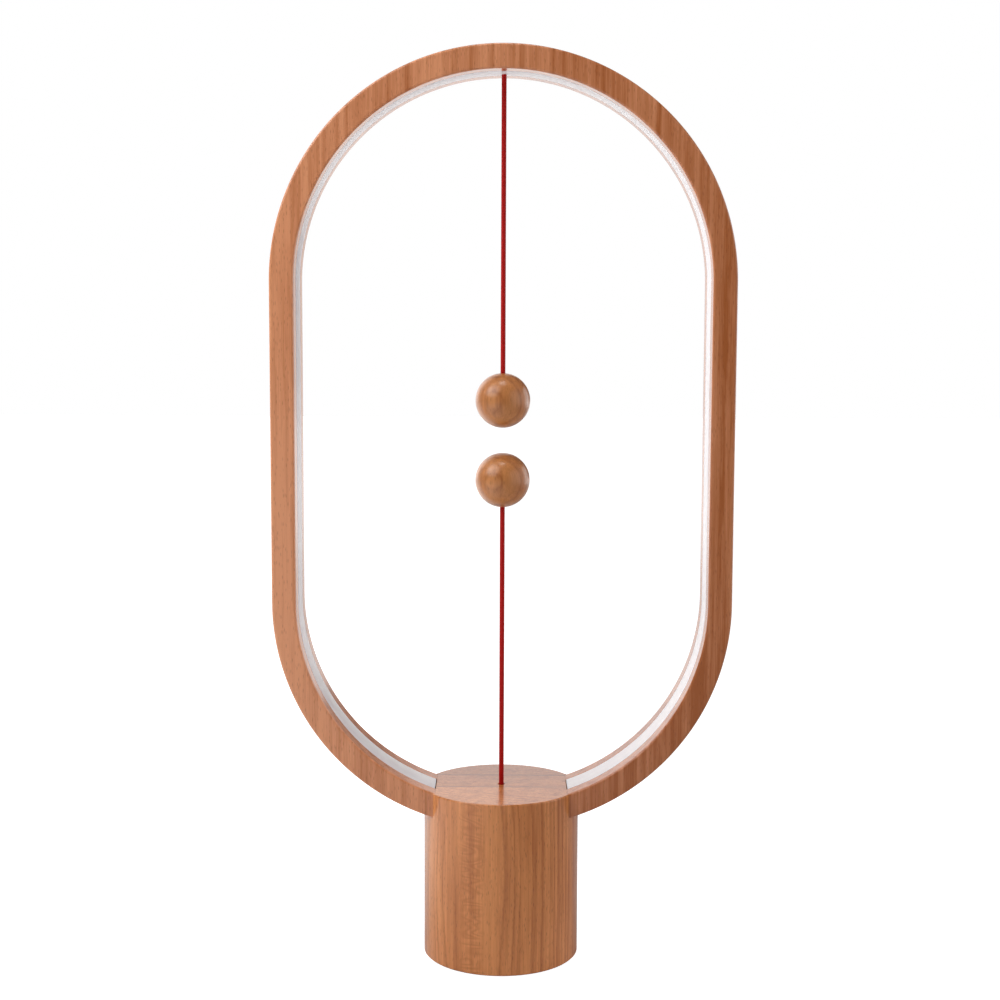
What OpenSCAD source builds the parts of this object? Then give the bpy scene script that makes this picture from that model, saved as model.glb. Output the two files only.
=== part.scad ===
// Table lamp with a standing wooden ring, a round wooden foot block and two
// magnet balls on strings. Lifting the lower ball to the upper one pulls the
// switch in the foot block, and the light line inside the ring comes on.
// Millimetres, +Z up, front towards -Y, table at Z = 0 under the middle.

/* [Ring] */
// Overall width of the ring
ring_w = 200; // [180:1:240]
// Length of the straight sides between the two round ends
side_l = 138.5; // [125:0.5:200]
// Depth of the ring from front to back
ring_d = 34; // [32:0.5:38]
// Thickness of the ring from its outer to its inner face
ring_t = 10.5; // [10:0.25:14]
// Rounding of the ring's long edges
ring_edge_r = 1; // [0.5:0.1:2]
// Drop of the ring's lowest point below the top of the foot block
ring_sink = 15.5; // [15:0.5:18]
// Width of the gap between the ring's two feet, inside the foot block
feet_gap = 24; // [22:0.5:26]

/* [Light line] */
// Width of the groove that holds the light line
groove_w = 16; // [15:0.25:17]
// Depth of that groove
groove_h = 6; // [5.5:0.25:6.5]
// Height of the milky cover's flat sides
cover_side_h = 3.5; // [2.5:0.1:3.8]
// Rise of the milky cover's rounded face out of the wood
cover_rise = 0.5; // [0.3:0.1:1.5]
// Width of the lamp strip
strip_w = 10; // [8:0.5:11]
// Thickness of the lamp strip
strip_t = 0.3; // [0.2:0.05:0.4]
// Distance from one lamp chip to the next
chip_pitch = 16.7; // [8:0.1:33]
// Length, width and height of a lamp chip
chip_size = [2.8, 3.5, 0.8];

/* [Foot block] */
// Height of the top of the foot block above the table
base_h = 76.5; // [74:0.5:100]
// Diameter of the foot block
base_w = 69; // [68:0.5:80]
// Thickness of the foot block's round wall
base_wall = 9.5; // [8.5:0.25:10.5]
// Rounding of its top edge
rim_r = 0.6; // [0.3:0.1:1.5]
// Bevel of its bottom edge
bevel = 0.6; // [0.4:0.1:1.5]
// Wood left under the ring's feet
sole_t = 8; // [6:0.5:9]
// Wood left over the string's bore
web_t = 1.2; // [1:0.1:3]
// Thickness of the soft pad, which lies within the foot block's wooden rim
pad_t = 1.2; // [0.8:0.1:2]
// Height that the pad stands out below that rim
pad_proud = 0.3; // [0.2:0.1:0.6]
// Gap between the pad's edge and the rim
pad_gap = 0.5; // [0.3:0.1:1]
// Thickness of the closing plate
plate_t = 3; // [2.5:0.25:4]
// Width of the ledge that the closing plate lies on
ledge_w = 6; // [5.5:0.25:6.5]
// Thickness of the steel weight
weight_t = 12; // [8:0.5:13]

/* [Balls and strings] */
// Diameter of a ball
ball_d = 24; // [22:0.5:30]
// Gap that the balls float apart
ball_gap = 11; // [8:0.5:16]
// Free length of the lower string, from the foot block to the lower ball
tether_l = 125; // [90:1:160]
// Diameter of the string
string_d = 2.2; // [1.8:0.1:2.4]
// Diameter of a knot in the string
knot_d = 4; // [3.4:0.1:4.2]
// Diameter of a ball's magnet
magnet_d = 8; // [6:0.5:9]
// Thickness of a ball's magnet
magnet_t = 6; // [4:0.5:7]
// Thickness of the wooden plug over the magnet, at its middle
plug_t = 2.5; // [2:0.1:3]
// Diameter of the wooden plug
plug_d = 10; // [9.5:0.5:12]

/* [Switch] */
// Travel of the switch when the string is let go
pull_travel = 3; // [2:0.25:3.5]
// Outer width of the switch, left to right
switch_w = 18; // [17:0.5:19]
// Outer depth of the switch, front to back
switch_d = 13; // [12:0.5:14]
// Height of the switch
switch_h = 17; // [16.5:0.25:18]
// Thickness of the switch's walls
switch_wall = 1.6; // [1.2:0.1:1.8]
// Radius of the spring's turns
spring_r = 3.4; // [3.2:0.1:3.8]
// Diameter of the spring's wire
spring_wire = 0.5; // [0.4:0.05:0.6]
// Number of turns of the spring
spring_turns = 4; // [3:1:4]

/* [Electrics] */
// Height of the posts that carry the circuit board
post_h = 4; // [3:0.25:6]
// Thickness of the circuit board
board_t = 1.6; // [1:0.1:2]
// Gap between the circuit board's edge and the foot block's round wall
board_gap = 3; // [2:0.25:4]
// Width of the power socket's block
socket_w = 13.5; // [12:0.5:16]
// Height of the power socket's block
socket_h = 7.5; // [6.5:0.25:8]
// Length of the power socket's block
socket_l = 16; // [15:0.5:18]
// Recess of the power socket's face behind the round wall
socket_recess = 1; // [0.6:0.1:2]
// Outside width of the power socket's metal mouth
mouth_w = 8.94; // [8.9:0.01:9]
// Outside height of the power socket's metal mouth
mouth_h = 3.26; // [3.2:0.01:3.3]
// Depth of the power socket's mouth
mouth_l = 7.5; // [6:0.5:8]

/* [Clearances] */
// Gap round wood that is glued or laid in
wood_fit = 0.15; // [0.1:0.05:0.2]
// Gap under a strip that is glued on
glue_t = 0.05; // [0.02:0.01:0.1]
// Gap round small pieces that stay put
part_fit = 0.1; // [0.05:0.05:0.15]
// Gap round pieces that slide
slide_fit = 0.3; // [0.3:0.05:0.4]
// Gap round a string in a hole that it runs through
string_fit = 0.4; // [0.3:0.05:0.6]
// Gap between two lengths of string at a bend
bend_fit = 0.1; // [0.05:0.01:0.1]

/* [Hidden] */

// A cut goes this far past a face that it opens
past = 1;
// A flared cut starts this far outside the face
skim = 0.01;

// Ring
ring_r = ring_w / 2;
inner_r = ring_r - ring_t;
groove_r = inner_r + groove_h;
cover_back_r = inner_r + cover_side_h;
lower_z = base_h - ring_sink + ring_r;
upper_z = lower_z + side_l;
strip_r = groove_r - glue_t - strip_t;
strip_foot_x = feet_gap / 2 + 9;
strip_top_x = 4;
cover_side_w = groove_w - 2 * wood_fit;
arc_r = (pow(cover_side_w / 2, 2) + pow(cover_rise, 2)) / (2 * cover_rise);
// Drop from the lower round end's middle to the foot block's top, and how far
// to the side the ring's inner face meets that top
meet_drop = lower_z - base_h;
meet_x = sqrt(pow(inner_r, 2) - pow(meet_drop, 2));

// Foot block, from the table up
base_r = base_w / 2;
cavity_r = base_r - base_wall;
ledge_r = cavity_r + ledge_w;
plate_z = pad_t + plate_t;
cavity_z = base_h - ring_sink - sole_t;
bore_r = 4.5;
bore_z = base_h - web_t;
wire_hole_r = 2;
wire_hole_x = feet_gap / 2 - 1;
wire_hole_y = 4;
wire_hole_z = lower_z - inner_r - 1;

// Slot across a screw's head
slot_w = 0.6;
slot_depth = 0.8;
// Screws: shank radius, head radius and head height of each kind
plate_screw = [1.3, 2.6, 1.6];
weight_screw = [2, 3.8, 2.2];
board_screw = [1.2, 2.2, 1.6];
case_screw = [1.2, 2.2, 1.6];
foot_screw = [1.5, 2.6, 1.8];
plate_screw_l = 14;
weight_screw_l = 10;
case_screw_l = 10;
foot_screw_l = 20;
plate_screw_ring = cavity_r + ledge_w / 2;
plate_screw_angles = [30, 150, 270];
weight_screw_x = 12;
foot_screw_y = (groove_w + ring_d) / 4 - 0.5;
foot_screw_ring = cavity_r - foot_screw[1] - slide_fit;
foot_screw_x = sqrt(pow(foot_screw_ring, 2) - pow(foot_screw_y, 2));

// Weight, posts and board
weight_r = cavity_r - 1;
weight_z = plate_z + weight_t;
post_z = weight_z + post_h;
board_z = post_z + board_t;
board_r = cavity_r - board_gap;
post_r = 2.5;
post_ring = board_r - 3.5;
post_angles = [30, 150, 270];
socket_face_y = base_r - socket_recess;
socket_z = board_z + socket_h / 2;
shell_wall = 0.3;
tongue_size = [6.7, 6, 0.7];
chip_body = [6, 5, 1.6];
chip_leg = [0.4, 1, 0.3];
chip_place = [-6, 3];
choke_place = [5.5, 3];
choke_r = 3.6;
choke_h = 4.4;
capacitor_r = 2.5;
capacitor_h = 6.5;
capacitor_places = [[-5.5, -11], [5.5, -11]];
resistor_size = [2, 1.25, 0.6];
resistor_row = [-9, -5.5, -2, 1.5, 5, 8.5];
resistor_y = 11.5;

// Switch, hanging from the roof of the foot block's hollow
case_z = cavity_z - switch_h;
case_roof = 2;
roof_z = cavity_z - case_roof;
room_w = switch_w - 2 * switch_wall;
room_d = switch_d - 2 * switch_wall;
lid_t = 1.6;
stop_gap = 0.4;
slider_h = 5;
slider_z = case_z + lid_t + stop_gap + pull_travel;
slider_top = slider_z + slider_h;
stem_r = 2.2;
stem_top = cavity_z + 6;
bridge_t = 0.4;
bridge_top = slider_top + bridge_t;
ear_l = 6.5;
ear_t = 2.5;
ear_w = 10;
ear_screw_y = switch_d / 2 + ear_l / 2;
contact_t = 0.6;
contact_w = 2.4;
contact_x = room_w / 2 - contact_t - 0.2;
contact_reach = 1.4;
tail_z = roof_z - 1.6;
tail_x = switch_w / 2 + 2.5;
guide_z = stem_top + 8;
thread_r = string_d / 2;
thread_hole_r = thread_r + 0.2;
run_hole_r = thread_r + string_fit;
pull_knot_z = slider_z + knot_d / 2;
knot_room_r = knot_d / 2 + 0.3;

// Balls, strings and the two points about which the strings swing
ball_r = ball_d / 2;
lower_ball_z = base_h + tether_l + ball_r;
upper_ball_z = lower_ball_z + ball_d + ball_gap;
lower_bend_z = base_h + pull_travel + 1.5;
cover_top_z = upper_z + inner_r - cover_rise;
upper_bend_z = cover_top_z - 2.5;
bend_gap = thread_r + bend_fit;
anchor_r = 2;
anchor_depth = 3;
anchor_z = upper_z + cover_back_r + 0.2;
anchor_top = upper_z + groove_r + anchor_depth;
magnet_seat = ball_r - plug_t;
knot_seat = magnet_seat - magnet_t;
knot_room_h = 4.5;

// Leads inside the foot block
lead_d = 1.2;
lead_r = groove_r - 1;
lead_ys = [wire_hole_y - 0.7, wire_hole_y + 0.7];
lead_x = wire_hole_x - 0.4;
tube_sides = 8;
// Distance between two rings of a tube, in tube diameters
ring_step = 2.5;

// Colours
beech = [0.72, 0.50, 0.34];
beech_light = [0.80, 0.60, 0.43];
red_cord = [0.62, 0.05, 0.03];
milky = [0.95, 0.93, 0.92];
steel = [0.70, 0.71, 0.73];
brass = [0.80, 0.66, 0.33];
black_plastic = [0.10, 0.10, 0.11];
grey_plastic = [0.45, 0.46, 0.48];
board_green = [0.12, 0.38, 0.22];
copper = [0.72, 0.40, 0.22];

// Smoothness of large and of small round shapes
$fn = 48;
ring_fn = 240;
block_fn = 120;
ball_fn = 72;

// ---- Shared shapes ----

// Flat bar with rounded corners, from the origin
module rounded_bar(w, h, r) {
    translate([r, 0]) square([w - 2 * r, h]);
    translate([0, r]) square([w, h - 2 * r]);
    for (x = [r, w - r]) {
        for (y = [r, h - r]) {
            translate([x, y]) circle(r, $fn = 24);
        }
    }
}

// Flat oval with straight long sides, centred
module oval(w, h) {
    square([w - h, h], center = true);
    for (x = [-1, 1]) {
        translate([x * (w - h) / 2, 0]) circle(h / 2);
    }
}

// Oval bar along Y, from one depth to another
module oval_bar(w, h, from_y, to_y) {
    translate([0, to_y, 0]) rotate([90, 0, 0]) linear_extrude(to_y - from_y) oval(w, h);
}

// Block centred in X and Y, standing on its lower face
module block(size, z) {
    translate([-size[0] / 2, -size[1] / 2, z]) cube(size);
}

// Carries a flat section once round the loop. The section's X is the distance
// from the middle of a round end, and its Y is the depth.
module ring_loop() {
    translate([0, 0, upper_z]) rotate([90, 0, 0])
        rotate_extrude(angle = 180, $fn = ring_fn) children();
    translate([0, 0, lower_z]) rotate([90, 180, 0])
        rotate_extrude(angle = 180, $fn = ring_fn) children();
    for (side = [0, 180]) {
        translate([0, 0, lower_z]) rotate([0, 0, side]) linear_extrude(side_l) children();
    }
}

// Carries a flat section along the right half of the loop, from foot_x beside
// the lowest point to top_x beside the highest, both at the radius r
module half_loop(r, foot_x, top_x) {
    foot_angle = acos(foot_x / r);
    top_angle = acos(top_x / r);
    translate([0, 0, upper_z]) rotate([90, 0, 0])
        rotate_extrude(angle = top_angle, $fn = ring_fn) children();
    translate([0, 0, lower_z]) rotate([0, foot_angle, 0]) rotate([90, 0, 0])
        rotate_extrude(angle = foot_angle, $fn = ring_fn) children();
    translate([0, 0, lower_z]) linear_extrude(side_l) children();
}

// Outline of the ring's bar, grown by a clearance on every side
module bar_section(grow) {
    translate([inner_r - grow, -ring_d / 2 - grow])
        rounded_bar(ring_t + 2 * grow, ring_d + 2 * grow, ring_edge_r + grow);
}

// Screw with its head below z, pointing up, with a slot across the head
module pan_screw(kind, length, z) {
    translate([0, 0, z]) cylinder(h = length, r = kind[0]);
    difference() {
        translate([0, 0, z - kind[2]]) cylinder(h = kind[2], r = kind[1]);
        block([2 * kind[1] + past, slot_w, slot_depth + past], z - kind[2] - past);
    }
}

// Cone of a sunk head, its wide end at z
module sunk_head(kind, z, grow) {
    translate([0, 0, z])
        cylinder(h = kind[2], r1 = kind[1] + grow, r2 = kind[0] + grow);
}

// Screw with a sunk head whose flat lies at z, pointing up
module sunk_screw(kind, length, z) {
    difference() {
        union() {
            sunk_head(kind, z, 0);
            translate([0, 0, z]) cylinder(h = length, r = kind[0]);
        }
        block([2 * kind[1] + past, slot_w, slot_depth + past], z - past);
    }
}

// ---- Tubes that follow a route ----

function unit(v) = v / norm(v);

function heading(route, i) =
    unit(route[min(i + 1, len(route) - 1)] - route[max(i - 1, 0)]);

// Points of one ring of a tube, square to the route
function tube_ring(centre, along, side, r, n) =
    let (u = unit(cross(along, side)), v = cross(along, u))
    [for (k = [0 : n - 1]) centre + r * (cos(360 * k / n) * u + sin(360 * k / n) * v)];

function tube_points(route, side, r, n) =
    [for (i = [0 : len(route) - 1]) each tube_ring(route[i], heading(route, i), side, r, n)];

// Faces of a tube of m rings with n sides, as triangles, with closed ends
function tube_faces(m, n) = concat(
    [for (k = [1 : n - 2]) [0, k, k + 1]],
    [for (i = [0 : m - 2]) for (k = [0 : n - 1])
        let (a = i * n + k, b = i * n + (k + 1) % n) each [[a, b + n, b], [a, a + n, b + n]]],
    [for (k = [1 : n - 2]) [(m - 1) * n, (m - 1) * n + k + 1, (m - 1) * n + k]]
);

// Tube along a route; side is a direction that the route never runs in
module tube(route, d, n, side) {
    polyhedron(
        points = tube_points(route, side, d / 2, n),
        faces = tube_faces(len(route), n),
        convexity = 10
    );
}

// Route between two points with a ring every few diameters
function straight_route(a, b, d) =
    let (n = max(2, ceil(norm(b - a) / (ring_step * d))))
    [for (i = [0 : n]) a + (b - a) * i / n];

module upright_string(z0, z1) {
    tube(straight_route([0, 0, z0], [0, 0, z1], string_d), string_d, tube_sides, [0, 1, 0]);
}

// ---- Ring and light line ----

module ring_frame() {
    color(beech) difference() {
        ring_loop() difference() {
            bar_section(0);
            translate([inner_r - past, -groove_w / 2]) square([groove_h + past, groove_w]);
        }
        block([feet_gap, 2 * ring_d, ring_r], lower_z - ring_r - past);
        translate([0, 0, anchor_top - anchor_depth - past])
            cylinder(h = anchor_depth + past, r = anchor_r + part_fit);
        foot_screw_places() translate([0, 0, cavity_z])
            cylinder(h = foot_screw_l - foot_screw[2], r = foot_screw[0] + part_fit);
    }
}

module foot_screw_places() {
    for (x = [-1, 1]) {
        for (y = [-1, 1]) {
            translate([x * foot_screw_x, y * foot_screw_y, 0]) children();
        }
    }
}

module ring_foot_screws() {
    color(steel) foot_screw_places()
        pan_screw(foot_screw, foot_screw_l - foot_screw[2], cavity_z);
}

module led_strip() {
    color(milky) half_loop(groove_r, strip_foot_x, strip_top_x)
        translate([strip_r, -strip_w / 2]) square([strip_t, strip_w]);
}

module led_strip_right() {
    led_strip();
}

module led_strip_left() {
    mirror([1, 0, 0]) led_strip();
}

// Lengths along the lamp strip: round the lower end, up the side, round the top
foot_arc = acos(strip_foot_x / strip_r);
top_arc = acos(strip_top_x / strip_r);
foot_len = strip_r * foot_arc * PI / 180;
top_len = strip_r * top_arc * PI / 180;
chip_margin = 6;
chip_count = floor((foot_len + side_l + top_len - 2 * chip_margin) / chip_pitch) + 1;

// Turns a chip into its place, a given length along the strip
module place_on_strip(s) {
    if (s < foot_len) {
        translate([0, 0, lower_z]) rotate([0, (foot_len - s) / strip_r * 180 / PI, 0])
            translate([strip_r, 0, 0]) children();
    } else if (s < foot_len + side_l) {
        translate([strip_r, 0, lower_z + s - foot_len]) children();
    } else {
        translate([0, 0, upper_z])
            rotate([0, -(s - foot_len - side_l) / strip_r * 180 / PI, 0])
            translate([strip_r, 0, 0]) children();
    }
}

module led_chips() {
    color([0.96, 0.90, 0.60]) for (side = [0, 1]) {
        mirror([side, 0, 0]) for (i = [0 : chip_count - 1]) {
            place_on_strip(chip_margin + i * chip_pitch)
                translate([-chip_size[2] - glue_t, -chip_size[1] / 2, -chip_size[0] / 2])
                cube([chip_size[2], chip_size[1], chip_size[0]]);
        }
    }
}

// Section of the milky cover: flat sides, and a face that swells out of the wood
module cover_section() {
    translate([inner_r, -cover_side_w / 2]) square([cover_side_h, cover_side_w]);
    intersection() {
        translate([inner_r - cover_rise + arc_r, 0]) circle(arc_r, $fn = 180);
        translate([inner_r - cover_rise, -cover_side_w / 2])
            square([cover_rise + cover_side_h, cover_side_w]);
    }
}

// Wedge under the lower round end's middle, which ends the cover square to its
// length where the wood meets the foot block
module foot_wedge() {
    translate([0, ring_d, lower_z]) rotate([90, 0, 0]) linear_extrude(2 * ring_d)
        polygon([[0, 0], [-2 * meet_x, -2 * meet_drop], [2 * meet_x, -2 * meet_drop]]);
}

module diffuser() {
    color(milky) difference() {
        ring_loop() cover_section();
        foot_wedge();
        translate([0, 0, cover_top_z - past])
            cylinder(h = cover_side_h + cover_rise + 2 * past, r = run_hole_r);
    }
}

module string_anchor() {
    color(brass) translate([0, 0, anchor_z]) difference() {
        cylinder(h = anchor_top - anchor_z, r = anchor_r);
        translate([0, 0, -past])
            cylinder(h = anchor_top - anchor_z - 0.6 + past, r = thread_hole_r);
    }
}

// ---- Foot block ----

module base_outline() {
    polygon([
        [0, pad_proud], [base_r - bevel, pad_proud], [base_r, pad_proud + bevel],
        [base_r, base_h - rim_r], [base_r - rim_r, base_h], [0, base_h]
    ]);
    translate([base_r - rim_r, base_h - rim_r]) circle(rim_r, $fn = 32);
}

// Room for the ring's two feet in the foot block
module feet_room() {
    difference() {
        translate([0, 0, lower_z]) rotate([90, 180, 0])
            rotate_extrude(angle = 180, $fn = ring_fn) bar_section(wood_fit);
        block([feet_gap - 2 * wood_fit, 2 * ring_d, 2 * ring_r], lower_z - 2 * ring_r + past);
    }
}

module plate_screw_places() {
    for (a = plate_screw_angles) {
        rotate([0, 0, a]) translate([plate_screw_ring, 0, 0]) children();
    }
}

module ear_screw_places() {
    for (y = [-1, 1]) {
        translate([0, y * ear_screw_y, 0]) children();
    }
}

module base_body() {
    color(beech) difference() {
        rotate_extrude($fn = block_fn) base_outline();
        cylinder(h = cavity_z, r = cavity_r, $fn = block_fn);
        cylinder(h = plate_z, r = ledge_r, $fn = block_fn);
        feet_room();
        translate([0, 0, cavity_z - past]) cylinder(h = bore_z - cavity_z + past, r = bore_r);
        translate([0, 0, bore_z - past]) cylinder(h = web_t + 2 * past, r = run_hole_r);
        for (x = [-1, 1]) {
            translate([x * wire_hole_x, wire_hole_y, cavity_z - past])
                cylinder(h = wire_hole_z - cavity_z + past, r = wire_hole_r);
        }
        translate([0, 0, socket_z])
            oval_bar(socket_w + 2 * wood_fit, socket_h + 2 * wood_fit, cavity_r - 5, base_r + past);
        plate_screw_places() translate([0, 0, plate_z - past])
            cylinder(h = plate_screw_l - plate_t + past + part_fit, r = plate_screw[0] + part_fit);
        ear_screw_places() translate([0, 0, cavity_z - past])
            cylinder(h = case_screw_l - ear_t + past + part_fit, r = case_screw[0] + part_fit);
        foot_screw_places() translate([0, 0, cavity_z - past])
            cylinder(h = foot_screw_l - foot_screw[2] + past, r = foot_screw[0] + part_fit);
    }
}

module foot_pad() {
    color([0.16, 0.15, 0.15]) cylinder(h = pad_t, r = ledge_r - pad_gap, $fn = block_fn);
}

module base_plate() {
    color(beech_light) difference() {
        translate([0, 0, pad_t]) cylinder(h = plate_t, r = ledge_r - wood_fit, $fn = block_fn);
        plate_screw_places() {
            sunk_head(plate_screw, pad_t, part_fit);
            translate([0, 0, pad_t - past])
                cylinder(h = plate_t + 2 * past, r = plate_screw[0] + part_fit);
        }
        for (x = [-1, 1]) {
            translate([x * weight_screw_x, 0, 0]) {
                sunk_head(weight_screw, pad_t, part_fit);
                translate([0, 0, pad_t - past])
                    cylinder(h = plate_t + 2 * past, r = weight_screw[0] + part_fit);
            }
        }
    }
}

module base_plate_screws() {
    color(steel) plate_screw_places() sunk_screw(plate_screw, plate_screw_l, pad_t);
}

module counterweight_screws() {
    color(steel) for (x = [-1, 1]) {
        translate([x * weight_screw_x, 0, 0]) sunk_screw(weight_screw, weight_screw_l, pad_t);
    }
}

module post_places() {
    for (a = post_angles) {
        rotate([0, 0, a]) translate([post_ring, 0, 0]) children();
    }
}

module counterweight() {
    edge = 1;
    color(steel) difference() {
        translate([0, 0, plate_z]) rotate_extrude($fn = block_fn) polygon([
            [0, 0], [weight_r - edge, 0], [weight_r, edge],
            [weight_r, weight_t - edge], [weight_r - edge, weight_t], [0, weight_t]
        ]);
        for (x = [-1, 1]) {
            translate([x * weight_screw_x, 0, plate_z - past])
                cylinder(h = weight_screw_l - plate_t + past + part_fit, r = weight_screw[0] + part_fit);
        }
    }
}

module board_posts() {
    color(brass) post_places() difference() {
        translate([0, 0, weight_z]) cylinder(h = post_h, r = post_r, $fn = 6);
        translate([0, 0, weight_z + 0.5])
            cylinder(h = post_h, r = board_screw[0] + part_fit / 2);
    }
}

module circuit_board() {
    color(board_green) difference() {
        translate([0, 0, post_z]) cylinder(h = board_t, r = board_r, $fn = block_fn);
        post_places() translate([0, 0, post_z - past])
            cylinder(h = board_t + 2 * past, r = board_screw[0] + part_fit);
    }
}

module board_screws() {
    screw_l = board_t + post_h - 1;
    color(steel) post_places() translate([0, 0, board_z]) mirror([0, 0, 1])
        pan_screw(board_screw, screw_l, 0);
}

module driver_chip() {
    legs = 4;
    leg_step = chip_body[0] / legs;
    color(black_plastic) translate([chip_place[0], chip_place[1], 0]) {
        block(chip_body, board_z);
        for (i = [0 : legs - 1]) {
            for (y = [-1, 1]) {
                translate([(i - (legs - 1) / 2) * leg_step, y * (chip_body[1] + chip_leg[1]) / 2, 0])
                    block(chip_leg, board_z);
            }
        }
    }
}

module choke_coil() {
    flange = 0.8;
    color(copper) translate([choke_place[0], choke_place[1], board_z]) {
        cylinder(h = flange, r = choke_r);
        translate([0, 0, flange]) cylinder(h = choke_h - 2 * flange, r = choke_r - 0.6);
        translate([0, 0, choke_h - flange]) cylinder(h = flange, r = choke_r);
    }
}

module capacitors() {
    collar = [0.3, 0.6, 1.2];
    color(grey_plastic) for (place = capacitor_places) {
        translate([place[0], place[1], board_z]) difference() {
            cylinder(h = capacitor_h, r = capacitor_r);
            translate([0, 0, collar[2]]) difference() {
                cylinder(h = collar[1], r = capacitor_r + past);
                translate([0, 0, -past]) cylinder(h = collar[1] + 2 * past, r = capacitor_r - collar[0]);
            }
        }
    }
}

module resistors() {
    color(black_plastic) for (x = resistor_row) {
        translate([x, resistor_y, 0]) block(resistor_size, board_z);
    }
}

module power_socket() {
    color(black_plastic) translate([0, 0, socket_z]) difference() {
        oval_bar(socket_w, socket_h, socket_face_y - socket_l, socket_face_y);
        oval_bar(mouth_w + 2 * part_fit, mouth_h + 2 * part_fit,
            socket_face_y - mouth_l - part_fit, socket_face_y + past);
    }
}

module socket_shell() {
    color(steel) translate([0, 0, socket_z]) difference() {
        oval_bar(mouth_w, mouth_h, socket_face_y - mouth_l, socket_face_y);
        oval_bar(mouth_w - 2 * shell_wall, mouth_h - 2 * shell_wall,
            socket_face_y - mouth_l + shell_wall, socket_face_y + past);
    }
}

module socket_tongue() {
    color(black_plastic)
        translate([0, socket_face_y - mouth_l + shell_wall + tongue_size[1] / 2, 0])
        block(tongue_size, socket_z - tongue_size[2] / 2);
}

// ---- Switch ----

module switch_housing() {
    color(grey_plastic) difference() {
        union() {
            block([switch_w, switch_d, switch_h], case_z);
            block([ear_w, switch_d + 2 * ear_l, ear_t], cavity_z - ear_t);
        }
        block([room_w, room_d, switch_h - case_roof + past], case_z - past);
        translate([0, 0, roof_z - past]) cylinder(h = case_roof + 2 * past, r = stem_r + slide_fit);
        ear_screw_places() translate([0, 0, cavity_z - ear_t - past])
            cylinder(h = ear_t + 2 * past, r = case_screw[0] + part_fit);
        block([switch_w + past, contact_w + 2 * part_fit, contact_t + 2 * part_fit],
            tail_z - part_fit);
    }
}

module switch_screws() {
    color(steel) ear_screw_places() pan_screw(case_screw, case_screw_l, cavity_z - ear_t);
}

module switch_cover() {
    color(grey_plastic) block([room_w - 2 * part_fit, room_d - 2 * part_fit, lid_t], case_z);
}

module fixed_contacts() {
    color(brass) for (side = [0, 1]) {
        mirror([side, 0, 0]) {
            translate([contact_x, -contact_w / 2, bridge_top + bend_fit])
                cube([contact_t, contact_w, roof_z - bridge_top - bend_fit]);
            translate([contact_x - contact_reach, -contact_w / 2, bridge_top + bend_fit])
                cube([contact_reach + contact_t, contact_w, contact_t]);
            translate([contact_x, -contact_w / 2, tail_z])
                cube([tail_x - contact_x, contact_w, contact_t]);
        }
    }
}

module contact_bridge() {
    color(brass) difference() {
        block([room_w - 1.2, 5.2, bridge_t], slider_top);
        translate([0, 0, slider_top - past]) cylinder(h = bridge_t + 2 * past, r = stem_r + part_fit);
    }
}

module switch_slider() {
    color(black_plastic) difference() {
        union() {
            block([room_w - 2 * slide_fit, room_d - 2 * slide_fit, slider_h], slider_z);
            translate([0, 0, slider_top]) cylinder(h = stem_top - slider_top, r = stem_r);
        }
        translate([0, 0, slider_z - past]) cylinder(h = stem_top, r = thread_hole_r);
        translate([0, 0, slider_z - past]) cylinder(h = knot_d + past, r = knot_room_r);
    }
}

// Helix of the spring between the slider's bridge and the roof of the case
spring_low = bridge_top + spring_wire / 2 + 0.05;
spring_high = roof_z - spring_wire / 2 - 0.05;
rings_a_turn = 8;
spring_route = [for (i = [0 : spring_turns * rings_a_turn])
    let (a = 360 * i / rings_a_turn, t = i / (spring_turns * rings_a_turn))
    [spring_r * cos(a), spring_r * sin(a), spring_low + t * (spring_high - spring_low)]];
spring_gaps = [for (i = [0 : len(spring_route) - 1])
    for (j = [i + rings_a_turn - 1 : 1 : len(spring_route) - 1])
    norm(spring_route[i] - spring_route[j]) - spring_wire];
echo(least_gap_between_spring_turns = min(spring_gaps));

module return_spring() {
    color(steel) tube(spring_route, spring_wire, 6, [0, 0, 1]);
}

module string_guide() {
    flare = 1.4;
    flare_h = 2;
    color(grey_plastic) difference() {
        translate([0, 0, guide_z]) cylinder(h = bore_z - guide_z, r = bore_r - part_fit);
        translate([0, 0, guide_z - past])
            cylinder(h = bore_z - guide_z + 2 * past, r = run_hole_r);
        translate([0, 0, guide_z - skim])
            cylinder(h = flare_h, r1 = run_hole_r + flare, r2 = run_hole_r);
    }
}

// ---- Leads ----

function groove_place(x) = lower_z - sqrt(lead_r * lead_r - x * x);

// From the board up beside the switch, through its hole and along the groove
function light_route(y) = concat(
    straight_route([lead_x, y, board_z], [lead_x, y, groove_place(lead_x) - 3], 2 * lead_d),
    [
        [lead_x + 0.3, y, groove_place(lead_x) - 1],
        [lead_x + 1.2, y, groove_place(lead_x) + 0.3]
    ],
    [for (x = [lead_x + 2.6 : 2.2 : strip_foot_x + 2]) [x, y, groove_place(x) + 0.1]]
);

module light_leads() {
    color(copper) for (side = [0, 1]) {
        mirror([side, 0, 0]) for (y = lead_ys) {
            tube(light_route(y), lead_d, tube_sides, [0, 1, 0]);
        }
    }
}

module switch_leads() {
    lead_top = tail_z;
    drop = lead_top - board_z;
    x = tail_x - 0.7;
    color(copper) for (side = [0, 1]) {
        mirror([side, 0, 0]) tube([
            [x, 0, lead_top], [x, 0, lead_top - 2], [x + 0.2, -0.6, lead_top - 0.25 * drop],
            [x + 0.3, -1.4, lead_top - 0.5 * drop], [x + 0.2, -2.2, lead_top - 0.75 * drop],
            [x, -2.6, board_z + 2], [x, -2.6, board_z]
        ], 1, tube_sides, [0, 1, 0]);
    }
}

// ---- Strings and balls ----

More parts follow.
